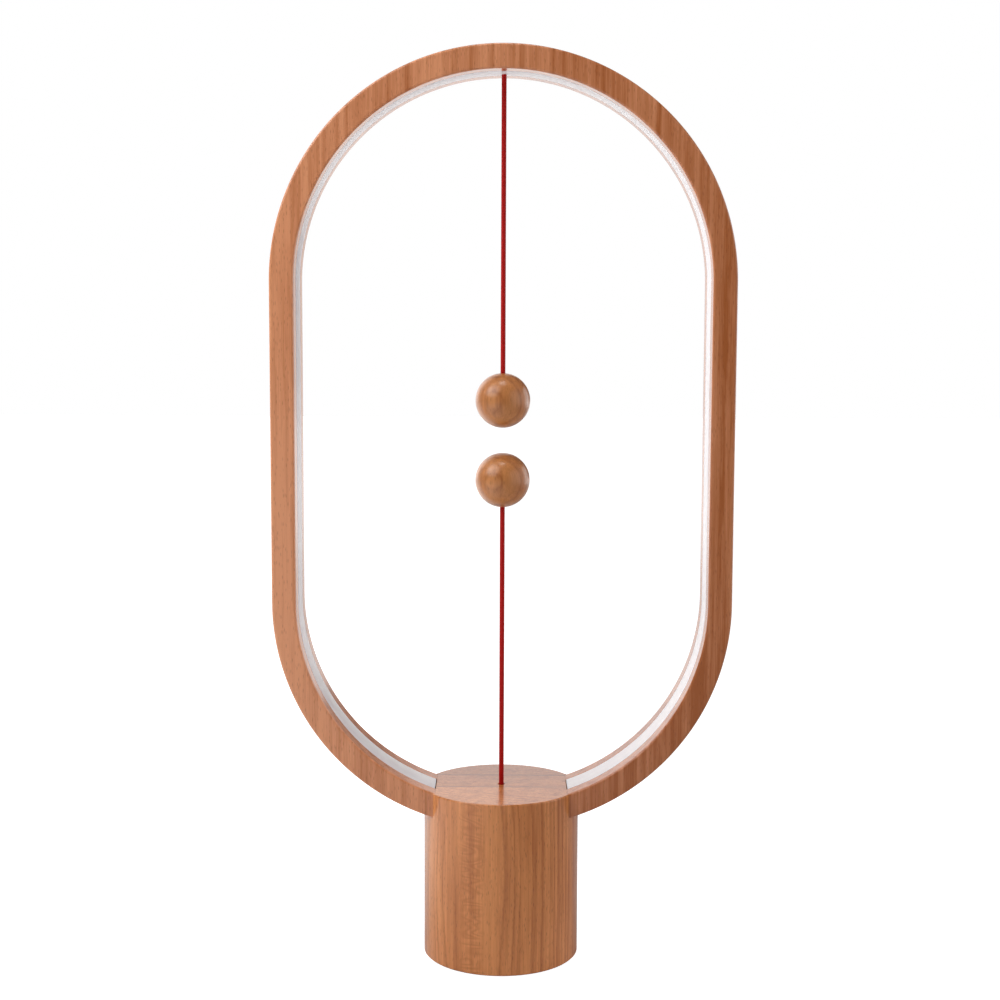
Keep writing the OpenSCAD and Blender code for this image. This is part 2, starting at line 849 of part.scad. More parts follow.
module upper_string_root() {
    color(red_cord) upright_string(upper_bend_z + bend_gap, anchor_top - 1);
}

module string_bend(z) {
    color(red_cord) translate([0, 0, z]) sphere(thread_r);
}

module upper_string_bend() {
    string_bend(upper_bend_z);
}

module lower_string_bend() {
    string_bend(lower_bend_z);
}

// String with a knot at its lower or upper end
module knotted_string(z0, z1, knot_z) {
    color(red_cord) union() {
        upright_string(z0, z1);
        translate([0, 0, knot_z]) sphere(knot_d / 2);
    }
}

module upper_string() {
    knot_z = upper_ball_z - knot_seat + knot_d / 2;
    knotted_string(knot_z, upper_bend_z - bend_gap, knot_z);
}

module lower_string() {
    knot_z = lower_ball_z + knot_seat - knot_d / 2;
    knotted_string(lower_bend_z + bend_gap, knot_z, knot_z);
}

module pull_string() {
    knotted_string(pull_knot_z, lower_bend_z - bend_gap, pull_knot_z);
}

// Ball with its string leaving upwards and its magnet at the bottom
module ball() {
    color(beech) difference() {
        sphere(ball_r, $fn = ball_fn);
        translate([0, 0, -ball_r - past])
            cylinder(h = plug_t + past, r = plug_d / 2 + part_fit / 2);
        translate([0, 0, -magnet_seat - past])
            cylinder(h = magnet_t + past, r = magnet_d / 2 + part_fit);
        translate([0, 0, -knot_seat - past]) cylinder(h = knot_room_h + past, r = knot_room_r);
        cylinder(h = ball_r + past, r = thread_hole_r);
    }
}

module magnet() {
    color(steel) translate([0, 0, -magnet_seat]) cylinder(h = magnet_t, r = magnet_d / 2);
}

module plug() {
    color(beech_light) intersection() {
        sphere(ball_r, $fn = ball_fn);
        translate([0, 0, -ball_r - past]) cylinder(h = plug_t + past, r = plug_d / 2);
    }
}

// Puts a ball's piece in the upper ball
module in_upper_ball() {
    translate([0, 0, upper_ball_z]) children();
}

// Puts a ball's piece in the lower ball, which is the same ball upside down
module in_lower_ball() {
    translate([0, 0, lower_ball_z]) mirror([0, 0, 1]) children();
}

module upper_ball() {
    in_upper_ball() ball();
}

module upper_magnet() {
    in_upper_ball() magnet();
}

module upper_plug() {
    in_upper_ball() plug();
}

module lower_ball() {
    in_lower_ball() ball();
}

module lower_magnet() {
    in_lower_ball() magnet();
}

module lower_plug() {
    in_lower_ball() plug();
}

foot_pad();
base_plate();
base_plate_screws();
base_body();
counterweight();
counterweight_screws();
board_posts();
circuit_board();
board_screws();
driver_chip();
choke_coil();
capacitors();
resistors();
power_socket();
socket_shell();
socket_tongue();
switch_housing();
switch_screws();
switch_cover();
fixed_contacts();
contact_bridge();
switch_slider();
return_spring();
string_guide();
switch_leads();
light_leads();
ring_frame();
ring_foot_screws();
led_strip_left();
led_strip_right();
led_chips();
diffuser();
string_anchor();
upper_string_root();
upper_string_bend();
upper_string();
upper_ball();
upper_magnet();
upper_plug();
pull_string();
lower_string_bend();
lower_string();
lower_ball();
lower_magnet();
lower_plug();
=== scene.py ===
"""Looks of the magnetic balance lamp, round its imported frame. Metres, +Z up, front towards -Y."""
import math

import bmesh
import bpy
from mathutils import Matrix, Vector


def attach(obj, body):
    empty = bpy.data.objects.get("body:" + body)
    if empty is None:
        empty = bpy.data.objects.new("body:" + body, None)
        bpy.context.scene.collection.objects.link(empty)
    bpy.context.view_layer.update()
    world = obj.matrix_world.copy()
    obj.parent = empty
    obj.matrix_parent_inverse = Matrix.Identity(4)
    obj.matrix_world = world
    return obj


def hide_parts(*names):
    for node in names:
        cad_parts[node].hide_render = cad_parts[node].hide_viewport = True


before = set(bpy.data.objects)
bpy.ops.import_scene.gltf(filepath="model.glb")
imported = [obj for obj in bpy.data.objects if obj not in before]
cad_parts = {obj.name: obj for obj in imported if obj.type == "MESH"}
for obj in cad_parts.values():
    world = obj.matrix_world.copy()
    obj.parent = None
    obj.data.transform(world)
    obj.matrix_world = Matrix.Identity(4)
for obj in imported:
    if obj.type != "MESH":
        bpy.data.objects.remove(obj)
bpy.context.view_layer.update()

# ---- Sizes, the same as in the part's source ----

MM = 0.001

# Ring and light line
RING_R = 100 * MM
SIDE_L = 138.5 * MM
RING_D = 34 * MM
RING_T = 10.5 * MM
RING_EDGE = 1 * MM
RING_SINK = 15.5 * MM
FEET_GAP = 24 * MM
GROOVE_W = 16 * MM
GROOVE_H = 6 * MM
COVER_SIDE = 3.5 * MM
COVER_RISE = 0.5 * MM

# Foot block
BASE_H = 76.5 * MM
BASE_R = 34.5 * MM
BASE_WALL = 9.5 * MM
RIM = 0.6 * MM
BEVEL = 0.6 * MM
SOLE_T = 8 * MM
WEB_T = 1.2 * MM
PAD_T = 1.2 * MM
PAD_PROUD = 0.3 * MM
PAD_GAP = 0.5 * MM
PLATE_T = 3 * MM
LEDGE_W = 6 * MM
BORE_R = 4.5 * MM
HOLE_R = 1.5 * MM
WOOD_FIT = 0.15 * MM
INLET_RECESS = 1 * MM
BOARD_Z = 21.8 * MM
INLET_H = 7.5 * MM
INLET_HALF = 3 * MM
INLET_T = 16 * MM
INLET_FIT = 0.15 * MM
WINDOW_T = 14.5 * MM
MOUTH_HALF = 2.84 * MM
MOUTH_R = 1.63 * MM
MOUTH_WALL = 0.3 * MM
MOUTH_DEPTH = 7.5 * MM
TONGUE_HALF = 3.35 * MM
TONGUE_HALF_T = 0.35 * MM
TONGUE_L = 6 * MM
CONTACT_PITCH = 0.5 * MM
CONTACT_ROW = 6 * MM

# Balls and strings
BALL_R = 12 * MM
BALL_GAP = 11 * MM
TETHER_L = 125 * MM
PLUG_R = 5 * MM
PLUG_T = 2.5 * MM
MAGNET_R = 4 * MM
MAGNET_T = 6 * MM
STRING_R = 1.1 * MM
THREAD_HOLE_R = STRING_R + 0.2 * MM
KNOT_R = 2 * MM
PULL_TRAVEL = 3 * MM
SWITCH_H = 17 * MM
SWITCH_LID = 2 * MM
LOWER_BEND_LIFT = 1.5 * MM
UPPER_BEND_DROP = 2.5 * MM
ROOT_RISE = 2 * MM

# Points along and round the swept and turned shapes
BAR_RINGS = 561
COVER_RINGS = 521
BLOCK_SEGMENTS = 288
PAD_SEGMENTS = 192
BALL_SEGMENTS = 144
PLUG_SEGMENTS = 96
STRING_SIDES = 36
STRING_STEP = 0.16 * MM

# Worked out from the sizes above
INNER_R = RING_R - RING_T
LOWER_Z = BASE_H - RING_SINK + RING_R
UPPER_Z = LOWER_Z + SIDE_L
COVER_W = GROOVE_W - 2 * WOOD_FIT
MEET_DROP = LOWER_Z - BASE_H
CAVITY_R = BASE_R - BASE_WALL
CAVITY_Z = BASE_H - RING_SINK - SOLE_T
LEDGE_R = CAVITY_R + LEDGE_W
PLATE_Z = PAD_T + PLATE_T
PAD_R = LEDGE_R - PAD_GAP
BORE_Z = BASE_H - WEB_T
FOOT_X = FEET_GAP / 2
INLET_Y = BASE_R - INLET_RECESS
INLET_Z = BOARD_Z + INLET_H / 2
INLET_R = INLET_H / 2
MOUTH_FLOOR = INLET_Y - MOUTH_DEPTH
LOWER_BALL_Z = BASE_H + TETHER_L + BALL_R
UPPER_BALL_Z = LOWER_BALL_Z + 2 * BALL_R + BALL_GAP
KNOT_DEPTH = BALL_R - PLUG_T - MAGNET_T - KNOT_R
UPPER_KNOT_Z = UPPER_BALL_Z - KNOT_DEPTH
LOWER_KNOT_Z = LOWER_BALL_Z + KNOT_DEPTH
LOWER_BEND_Z = BASE_H + PULL_TRAVEL + LOWER_BEND_LIFT
UPPER_BEND_Z = UPPER_Z + INNER_R - COVER_RISE - UPPER_BEND_DROP
ROOT_TOP_Z = UPPER_Z + INNER_R + GROOVE_H + ROOT_RISE
PULL_KNOT_Z = CAVITY_Z - SWITCH_H + SWITCH_LID + PULL_TRAVEL + KNOT_R


def paint(red, green, blue):
    """A colour as a camera shows it, from 0 to 255, made ready for a shader."""
    parts = [c / 255 for c in (red, green, blue)]
    linear = [c / 12.92 if c <= 0.04045 else ((c + 0.055) / 1.055) ** 2.4 for c in parts]
    return (*linear, 1.0)


# ---- Camera ----

SENSOR_W = 36
FOCAL_SHARE = 1.74663
CAMERA_PLACE = Vector((-1.075, -765.9, 287.11)) * MM
CAMERA_PITCH = 0.1073
CAMERA_YAW = -0.004
CAMERA_ROLL = -0.004


def make_camera():
    """Camera at the photograph's place, found by a fit to the lamp's edges."""
    data = bpy.data.cameras.new("photo_camera")
    data.sensor_width = SENSOR_W
    data.lens = SENSOR_W * FOCAL_SHARE
    data.clip_start = 0.01
    camera = bpy.data.objects.new("photo_camera", data)
    bpy.context.scene.collection.objects.link(camera)
    turn = Matrix.Rotation(-CAMERA_YAW, 3, "Z")
    ahead = Vector((0, math.cos(CAMERA_PITCH), -math.sin(CAMERA_PITCH)))
    level_up = Vector((0, math.sin(CAMERA_PITCH), math.cos(CAMERA_PITCH)))
    level_right = Vector((1, 0, 0))
    right = level_right * math.cos(CAMERA_ROLL) - level_up * math.sin(CAMERA_ROLL)
    up = level_right * math.sin(CAMERA_ROLL) + level_up * math.cos(CAMERA_ROLL)
    axes = Matrix((turn @ right, turn @ up, turn @ -ahead)).transposed()
    camera.matrix_world = Matrix.Translation(turn @ CAMERA_PLACE) @ axes.to_4x4()
    bpy.context.scene.camera = camera


# ---- Meshes ----


def new_piece(name, mesh):
    piece = bpy.data.objects.new(name, mesh)
    bpy.context.scene.collection.objects.link(piece)
    return piece


def shade_smooth(mesh):
    mesh.polygons.foreach_set("use_smooth", [True] * len(mesh.polygons))


def settle(mesh, sharp_deg=35):
    """Merges doubles, turns the faces outwards and shades the mesh smooth but for its sharp edges."""
    shape = bmesh.new()
    shape.from_mesh(mesh)
    bmesh.ops.remove_doubles(shape, verts=shape.verts, dist=1e-7)
    bmesh.ops.recalc_face_normals(shape, faces=shape.faces)
    shape.to_mesh(mesh)
    shape.free()
    shade_smooth(mesh)
    mesh.set_sharp_from_angle(angle=math.radians(sharp_deg))
    mesh.update()


def mesh_of(name, shape):
    """The mesh of a shape that is then let go."""
    mesh = bpy.data.meshes.new(name)
    shape.to_mesh(mesh)
    shape.free()
    return mesh


def bridge(shape, low, high):
    """Faces between two closed loops of the same count."""
    count = len(low)
    for i in range(count):
        j = (i + 1) % count
        shape.faces.new((low[i], low[j], high[j], high[i]))


def arc(centre_r, centre_z, radius, start_deg, end_deg, steps):
    """Points of an arc in a (radius, height) outline."""
    points = []
    for i in range(steps + 1):
        angle = math.radians(start_deg + (end_deg - start_deg) * i / steps)
        points.append((centre_r + radius * math.cos(angle), centre_z + radius * math.sin(angle)))
    return points


def steps_between(a, b, count):
    """Points strictly between two outline points."""
    shares = [i / (count + 1) for i in range(1, count + 1)]
    return [(a[0] + (b[0] - a[0]) * t, a[1] + (b[1] - a[1]) * t) for t in shares]


def turned(name, outline, segments, closed):
    """A shape turned on the lathe from a (radius, height) outline; an open outline ends on the axis."""
    shape = bmesh.new()
    loops = []
    for radius, height in outline:
        loop = []
        for i in range(segments):
            angle = 2 * math.pi * i / segments
            loop.append(shape.verts.new((radius * math.cos(angle), radius * math.sin(angle), height)))
        loops.append(loop)
    pairs = list(zip(loops, loops[1:]))
    if closed:
        pairs.append((loops[-1], loops[0]))
    for low, high in pairs:
        bridge(shape, low, high)
    mesh = mesh_of(name, shape)
    settle(mesh)
    return new_piece(name, mesh)


def lofted(name, loops):
    """A closed shape through loops of points, with a flat face over each end."""
    shape = bmesh.new()
    rings = [[shape.verts.new(p) for p in loop] for loop in loops]
    for low, high in zip(rings, rings[1:]):
        bridge(shape, low, high)
    shape.faces.new(rings[0])
    shape.faces.new(rings[-1])
    mesh = mesh_of(name, shape)
    settle(mesh)
    return new_piece(name, mesh)


def applied(piece, name):
    """The piece with its modifiers made real, as a plain mesh."""
    graph = bpy.context.evaluated_depsgraph_get()
    mesh = bpy.data.meshes.new_from_object(piece.evaluated_get(graph), depsgraph=graph)
    mesh.name = name
    made = new_piece(name, mesh)
    bpy.data.objects.remove(piece)
    return made


def cut(piece, cutter):
    """Takes the cutter's shape out of the piece."""
    name = piece.name
    change = piece.modifiers.new("cut", "BOOLEAN")
    change.operation = "DIFFERENCE"
    change.solver = "EXACT"
    change.object = cutter
    piece.name = name + "_uncut"
    made = applied(piece, name)
    bpy.data.objects.remove(cutter)
    return made


def place_mesh(piece, shift):
    """Moves the piece's points, so that its object stays at the origin."""
    piece.data.transform(Matrix.Translation(shift))
    piece.data.update()


def stand_for(piece, body, node):
    """The piece moves with the body and stands for the CAD node, which it hides."""
    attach(piece, body)
    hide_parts(node)


# ---- Node trees ----


def add(tree, kind, **settings):
    node = tree.nodes.new(kind)
    for key, value in settings.items():
        setattr(node, key, value)
    return node


def feed(tree, socket, value):
    """Joins a socket to another, or sets it to a plain value."""
    if isinstance(value, bpy.types.NodeSocket):
        tree.links.new(value, socket)
    else:
        socket.default_value = value


def calc(tree, operation, *values):
    node = add(tree, "ShaderNodeMath", operation=operation)
    for socket, value in zip(node.inputs, values):
        feed(tree, socket, value)
    return node.outputs[0]


def vector_calc(tree, operation, *values, result="Vector"):
    node = add(tree, "ShaderNodeVectorMath", operation=operation)
    for socket, value in zip(node.inputs, values):
        feed(tree, socket, value)
    return node.outputs[result]


def spread(tree, value, low, high, to_low=0.0, to_high=1.0):
    """Maps a value from one range to another and holds it there."""
    node = add(tree, "ShaderNodeMapRange", clamp=True)
    feed(tree, node.inputs["Value"], value)
    node.inputs["From Min"].default_value = low
    node.inputs["From Max"].default_value = high
    node.inputs["To Min"].default_value = to_low
    node.inputs["To Max"].default_value = to_high
    return node.outputs["Result"]


def blend(tree, share, first, second):
    node = add(tree, "ShaderNodeMix", data_type="RGBA")
    feed(tree, node.inputs["Factor"], share)
    colours = [s for s in node.inputs if s.type == "RGBA"]
    feed(tree, colours[0], first)
    feed(tree, colours[1], second)
    return [s for s in node.outputs if s.type == "RGBA"][0]


def stretched_noise(tree, place, scale, detail=2.0, roughness=0.5):
    """Noise whose size along each axis is set by three scales, in cells to the metre."""
    node = add(tree, "ShaderNodeTexNoise", noise_dimensions="3D")
    feed(tree, node.inputs["Vector"], vector_calc(tree, "MULTIPLY", place, scale))
    node.inputs["Scale"].default_value = 1.0
    node.inputs["Detail"].default_value = detail
    node.inputs["Roughness"].default_value = roughness
    return node


def new_group(name, inputs, outputs):
    """A shader node group with named sockets, and its two end nodes."""
    tree = bpy.data.node_groups.new(name, "ShaderNodeTree")
    for label, kind, value in inputs:
        socket = tree.interface.new_socket(label, in_out="INPUT", socket_type=kind)
        if value is not None:
            socket.default_value = value
    for label, kind in outputs:
        tree.interface.new_socket(label, in_out="OUTPUT", socket_type=kind)
    return tree, add(tree, "NodeGroupInput"), add(tree, "NodeGroupOutput")


FLOAT = "NodeSocketFloat"
COLOUR = "NodeSocketColor"
VECTOR = "NodeSocketVector"


def growth_rings(tree, ask):
    """How dark the late wood is here, for rings round the pith that sway, ripple and vary by the year."""
    place = ask["Place"]
    sway = stretched_noise(tree, place, (9, 9, 11), 1.0)
    sway_step = vector_calc(tree, "SUBTRACT", sway.outputs["Color"], (0.5, 0.5, 0.5))
    swayed = vector_calc(tree, "MULTIPLY_ADD", sway_step, (6 * MM, 6 * MM, 0), place)
    ripple = stretched_noise(tree, place, (60, 60, 210), 1.0)
    ripple_step = calc(tree, "SUBTRACT", ripple.outputs[0], 0.5)
    ripple_size = calc(tree, "MULTIPLY", ripple_step, ask["Ripple"])

    from_pith = vector_calc(tree, "SUBTRACT", swayed, ask["Pith"])
    flat = vector_calc(tree, "MULTIPLY", from_pith, (1, 1, 0))
    distance = vector_calc(tree, "LENGTH", flat, result="Value")
    distance = calc(tree, "ADD", distance, ripple_size)
    years = add(tree, "ShaderNodeTexNoise", noise_dimensions="1D")
    feed(tree, years.inputs["W"], calc(tree, "MULTIPLY", distance, 150.0))
    years.inputs["Scale"].default_value = 1.0
    year_step = calc(tree, "MULTIPLY", years.outputs[0], 8 * MM)
    phase = calc(tree, "DIVIDE", calc(tree, "ADD", distance, year_step), ask["Ring spacing"])
    share = calc(tree, "FRACT", phase)
    rise = spread(tree, share, 0.2, 0.86)
    fall = spread(tree, share, 0.86, 1.0, 1.0, 0.0)
    late = calc(tree, "MULTIPLY", calc(tree, "POWER", rise, 1.8), fall)
    return calc(tree, "MULTIPLY", late, ask["Rings seen"])


def ray_flecks(tree, ask):
    """Short dark flecks along the grain: some are kept, each with its own strength."""
    flecks = add(tree, "ShaderNodeTexVoronoi", feature="F1")
    feed(tree, flecks.inputs["Vector"], vector_calc(tree, "MULTIPLY", ask["Place"], (1500, 1500, 330)))
    flecks.inputs["Scale"].default_value = 1.0
    spot = spread(tree, flecks.outputs["Distance"], 0.08, 0.42, 1.0, 0.0)
    chance = add(tree, "ShaderNodeSeparateColor")
    feed(tree, chance.inputs[0], flecks.outputs["Color"])
    kept = calc(tree, "LESS_THAN", chance.outputs[0], ask["Fleck share"])
    fleck = calc(tree, "MULTIPLY", spot, kept)
    return calc(tree, "MULTIPLY", fleck, spread(tree, chance.outputs[1], 0.0, 1.0, 0.3, 1.0))


def make_beech_group():
    """Beech: growth rings round a pith beside the piece, fibres, the short dark flecks of its rays, and
    painted light that makes it paler to the left and deeper to the right.
    """
    tree, start, end = new_group(
        "Beech grain",
        [
            ("Place", VECTOR, None),
            ("Pith", VECTOR, None),
            ("Ring spacing", FLOAT, 4 * MM),
            ("Ripple", FLOAT, 1 * MM),
            ("Rings seen", FLOAT, 0.4),
            ("Painted left light", FLOAT, 0.0),
            ("Pale", COLOUR, paint(195, 124, 75)),
            ("Deep", COLOUR, paint(173, 101, 59)),
            ("Fleck", COLOUR, paint(132, 70, 36)),
            ("Fleck share", FLOAT, 0.5),
            ("Satin", FLOAT, 0.4),
        ],
        [("Color", COLOUR), ("Roughness", FLOAT), ("Height", FLOAT)],
    )
    ask = start.outputs
    place = ask["Place"]
    ring_tone = growth_rings(tree, ask)
    tone = stretched_noise(tree, place, (34, 34, 6), 2.0)
    cloud = stretched_noise(tree, place, (150, 150, 24), 3.0)
    strand = stretched_noise(tree, place, (520, 520, 12), 3.0, 0.6)
    fibre = stretched_noise(tree, place, (1700, 1700, 60), 3.0, 0.65)
    vein = stretched_noise(tree, place, (230, 230, 4), 1.0)
    fleck = ray_flecks(tree, ask)
    across = add(tree, "ShaderNodeSeparateXYZ")
    feed(tree, across.inputs[0], place)
    # Painted light: by this share the wood turns paler towards -X and deeper towards +X, standing in for
    # light falling from the left.
    painted_left_light = calc(tree, "MULTIPLY", across.outputs[0], ask["Painted left light"])

    depth = calc(tree, "ADD", ring_tone, spread(tree, tone.outputs[0], 0.3, 0.7, -0.05, 0.40))
    depth = calc(tree, "ADD", depth, spread(tree, cloud.outputs[0], 0.3, 0.7, -0.10, 0.10))
    depth = calc(tree, "ADD", depth, spread(tree, strand.outputs[0], 0.3, 0.7, -0.24, 0.26))
    depth = calc(tree, "ADD", depth, spread(tree, fibre.outputs[0], 0.3, 0.7, -0.22, 0.22))
    depth = calc(tree, "ADD", depth, spread(tree, vein.outputs[0], 0.56, 0.70, 0.0, 0.40))
    depth = calc(tree, "ADD", depth, painted_left_light)
    wood = blend(tree, spread(tree, depth, -0.2, 1.0), ask["Pale"], ask["Deep"])
    wood = blend(tree, calc(tree, "MULTIPLY", fleck, 0.6), wood, ask["Fleck"])

    uneven = calc(tree, "ADD", ask["Satin"], spread(tree, strand.outputs[0], 0.3, 0.7, -0.04, 0.05))
    rough = calc(tree, "MULTIPLY_ADD", fleck, 0.08, uneven)
    height = calc(tree, "MULTIPLY_ADD", fleck, -0.7, spread(tree, fibre.outputs[0], 0.2, 0.8))
    feed(tree, end.inputs["Color"], wood)
    feed(tree, end.inputs["Roughness"], rough)
    feed(tree, end.inputs["Height"], height)
    return tree


def make_speckle_group():
    """Fine uneven colour and gloss, for plastic, foam, metal and board."""
    tree, start, end = new_group(
        "Fine speckle",
        [
            ("Place", VECTOR, None),
            ("Grain", VECTOR, None),
            ("Low", COLOUR, None),
            ("High", COLOUR, None),
            ("Smooth", FLOAT, 0.3),
            ("Dull", FLOAT, 0.5),
        ],
        [("Color", COLOUR), ("Roughness", FLOAT), ("Height", FLOAT)],
    )
    ask = start.outputs
    node = add(tree, "ShaderNodeTexNoise", noise_dimensions="3D")
    feed(tree, node.inputs["Vector"], vector_calc(tree, "MULTIPLY", ask["Place"], ask["Grain"]))
    node.inputs["Scale"].default_value = 1.0
    node.inputs["Detail"].default_value = 3.0
    share = spread(tree, node.outputs[0], 0.3, 0.7)
    feed(tree, end.inputs["Color"], blend(tree, share, ask["Low"], ask["High"]))
    gap = calc(tree, "SUBTRACT", ask["Dull"], ask["Smooth"])
    feed(tree, end.inputs["Roughness"], calc(tree, "MULTIPLY_ADD", gap, share, ask["Smooth"]))
    feed(tree, end.inputs["Height"], share)
    return tree


BEECH = make_beech_group()
SPECKLE = make_speckle_group()

# The woods, and how the foot block is glued up and figured
# Each wood's share across X paints light from the left into its colour: paler on the left, deeper on the
# right.
RING_WOOD = {
    "Pith": (-420 * MM, -200 * MM, 0),
    "Ring spacing": 8.5 * MM,
    "Ripple": 1 * MM,
    "Rings seen": 0.30,
    "Painted left light": 4.4,
    "Pale": paint(228, 154, 110),
    "Deep": paint(174, 96, 46),
    "Fleck": paint(132, 70, 34),
    "Fleck share": 0.45,
    "Satin": 0.55,
}
BLOCK_WOOD = {
    "Pith": (45 * MM, 113 * MM, 0),
    "Ring spacing": 2.3 * MM,
    "Ripple": 0.4 * MM,
    "Rings seen": 0.52,
    "Painted left light": 2.5,
    "Pale": paint(232, 152, 88),
    "Deep": paint(172, 94, 40),
    "Fleck": paint(120, 60, 24),
    "Fleck share": 0.6,
    "Satin": 0.5,
}
BALL_WOOD = {
    "Pith": (30 * MM, 60 * MM, 0),
    "Ring spacing": 4.5 * MM,
    "Ripple": 1.2 * MM,
    "Rings seen": 0.5,
    "Painted left light": 5.0,
    "Pale": paint(208, 138, 80),
    "Deep": paint(166, 98, 48),
    "Fleck": paint(130, 68, 32),
    "Fleck share": 0.35,
    "Satin": 0.4,
}
WOOD_COAT = 1.0
COAT_ROUGH = 0.18
BALL_COAT_ROUGH = 0.28
FIRST_SEAM = -5 * MM
SECOND_SEAM = 15 * MM
BOARD_SHIFT = (37 * MM, -21 * MM, 290 * MM)
FIGURE_X = -12.7 * MM
FIGURE_W = 8 * MM


def new_material(name):
    """An empty material with its shader, and where the surface's own place comes from."""
    material = bpy.data.materials.new(name)
    material.use_nodes = True
    tree = material.node_tree
    tree.nodes.clear()
    shader = add(tree, "ShaderNodeBsdfPrincipled")
    output = add(tree, "ShaderNodeOutputMaterial")
    tree.links.new(shader.outputs[0], output.inputs["Surface"])
    place = add(tree, "ShaderNodeTexCoord").outputs["Object"]
    return material, tree, shader, place


def raise_surface(tree, shader, height, depth, strength):
    bump = add(tree, "ShaderNodeBump")
    bump.inputs["Strength"].default_value = strength
    bump.inputs["Distance"].default_value = depth
    feed(tree, bump.inputs["Height"], height)
    feed(tree, shader.inputs["Normal"], bump.outputs[0])


def grain_node(tree, place, values):
    grain = add(tree, "ShaderNodeGroup", node_tree=BEECH)
    feed(tree, grain.inputs["Place"], place)
    for key, value in values.items():
        grain.inputs[key].default_value = value
    return grain


def finish_wood(tree, shader, grain, coat_rough):
    feed(tree, shader.inputs["Roughness"], grain.outputs["Roughness"])
    raise_surface(tree, shader, grain.outputs["Height"], 0.04 * MM, 0.5)
    shader.inputs["Specular IOR Level"].default_value = 0.15
    shader.inputs["Coat Weight"].default_value = WOOD_COAT
    shader.inputs["Coat Roughness"].default_value = coat_rough


def beech(name, values, shift, coat_rough):
    """Wood cut from its own place in the log, under a coat of satin lacquer."""
    material, tree, shader, place = new_material(name)
    centre = add(tree, "ShaderNodeMapping")
    feed(tree, centre.inputs["Vector"], place)
    centre.inputs["Location"].default_value = shift
    grain = grain_node(tree, centre.outputs[0], values)
    feed(tree, shader.inputs["Base Color"], grain.outputs["Color"])
    finish_wood(tree, shader, grain, coat_rough)
    return material


def glued_boards(tree, place):
    """Three boards glued face to face, front to back: the place each is cut from, its seams, its number."""
    parts = add(tree, "ShaderNodeSeparateXYZ")
    feed(tree, parts.inputs[0], place)
    depth = parts.outputs[1]
    past_first = calc(tree, "GREATER_THAN", depth, FIRST_SEAM)
    past_second = calc(tree, "GREATER_THAN", depth, SECOND_SEAM)
    board = calc(tree, "ADD", past_first, past_second)
    moved = add(tree, "ShaderNodeCombineXYZ")
    for socket, shift in zip(moved.inputs, BOARD_SHIFT):
        feed(tree, socket, calc(tree, "MULTIPLY", board, shift))
    to_first = calc(tree, "ABSOLUTE", calc(tree, "SUBTRACT", depth, FIRST_SEAM))
    to_second = calc(tree, "ABSOLUTE", calc(tree, "SUBTRACT", depth, SECOND_SEAM))
    nearest = calc(tree, "MINIMUM", to_first, to_second)
    seam = spread(tree, nearest, 0.4 * MM, 1.3 * MM, 1.0, 0.0)
    return vector_calc(tree, "ADD", place, moved.outputs[0]), seam, board


def wavy_figure(tree, place, from_figure):
    """Thin wavy lines one above the other, within a column of the block's front."""
    wave = stretched_noise(tree, place, (45, 45, 170), 1.0)
    rise = calc(tree, "PINGPONG", calc(tree, "MULTIPLY", wave.outputs[0], 9.0), 0.5)
    line = spread(tree, rise, 0.0, 0.4, 1.0, 0.0)
    in_column = spread(tree, from_figure, 0.35 * FIGURE_W, 0.75 * FIGURE_W, 0.45, 0.0)
    return calc(tree, "MULTIPLY", line, in_column)


def make_block_wood():
    """Three boards of beech; the front one shows a column of wavy figure left of the middle."""
    material, tree, shader, place = new_material("block_beech")
    cut_from, seam, board = glued_boards(tree, place)
    grain = grain_node(tree, cut_from, BLOCK_WOOD)
    parts = add(tree, "ShaderNodeSeparateXYZ")
    feed(tree, parts.inputs[0], place)
    from_figure = calc(tree, "ABSOLUTE", calc(tree, "SUBTRACT", parts.outputs[0], FIGURE_X))
    rings_seen = spread(tree, from_figure, 0.3 * FIGURE_W, FIGURE_W, 0.15, BLOCK_WOOD["Rings seen"])
    feed(tree, grain.inputs["Rings seen"], rings_seen)
    tint = spread(tree, board, 0.0, 2.0, 0.0, 0.30)
    wood = blend(tree, tint, grain.outputs["Color"], BLOCK_WOOD["Deep"])
    wood = blend(tree, wavy_figure(tree, place, from_figure), wood, BLOCK_WOOD["Deep"])
    wood = blend(tree, calc(tree, "MULTIPLY", seam, 0.5), wood, BLOCK_WOOD["Fleck"])
    feed(tree, shader.inputs["Base Color"], wood)
    finish_wood(tree, shader, grain, COAT_ROUGH)
    return material


def speckled(name, low, high, smooth, dull, grain=(900, 900, 900), metallic=0.0):
    material, tree, shader, place = new_material(name)
    group = add(tree, "ShaderNodeGroup", node_tree=SPECKLE)
    feed(tree, group.inputs["Place"], place)
    group.inputs["Grain"].default_value = grain
    group.inputs["Low"].default_value = low
    group.inputs["High"].default_value = high
    group.inputs["Smooth"].default_value = smooth
    group.inputs["Dull"].default_value = dull
    feed(tree, shader.inputs["Base Color"], group.outputs["Color"])
    feed(tree, shader.inputs["Roughness"], group.outputs["Roughness"])
    raise_surface(tree, shader, group.outputs["Height"], 0.02 * MM, 0.3)
    shader.inputs["Metallic"].default_value = metallic
    return material


def make_string_material():
    """Red braid with painted shade: paler on its strands and darker in the hollows between them, with fine
    threads along them.
    """
    material, tree, shader, place = new_material("red_braid")
    crest = add(tree, "ShaderNodeAttribute", attribute_name="crest").outputs["Fac"]
    thread = stretched_noise(tree, place, (5200, 5200, 2600), 2.0)
    # Painted shade: the colour darkens in the hollows between the strands and is palest on their crests.
    lit = calc(tree, "MULTIPLY", crest, spread(tree, thread.outputs[0], 0.3, 0.7, 0.82, 1.0))
    colour = blend(tree, lit, paint(120, 0, 0), paint(208, 8, 2))
    feed(tree, shader.inputs["Base Color"], colour)
    feed(tree, shader.inputs["Roughness"], spread(tree, thread.outputs[0], 0.3, 0.7, 0.5, 0.66))
    raise_surface(tree, shader, thread.outputs[0], 0.03 * MM, 0.4)
    shader.inputs["Specular IOR Level"].default_value = 0.25
    return material


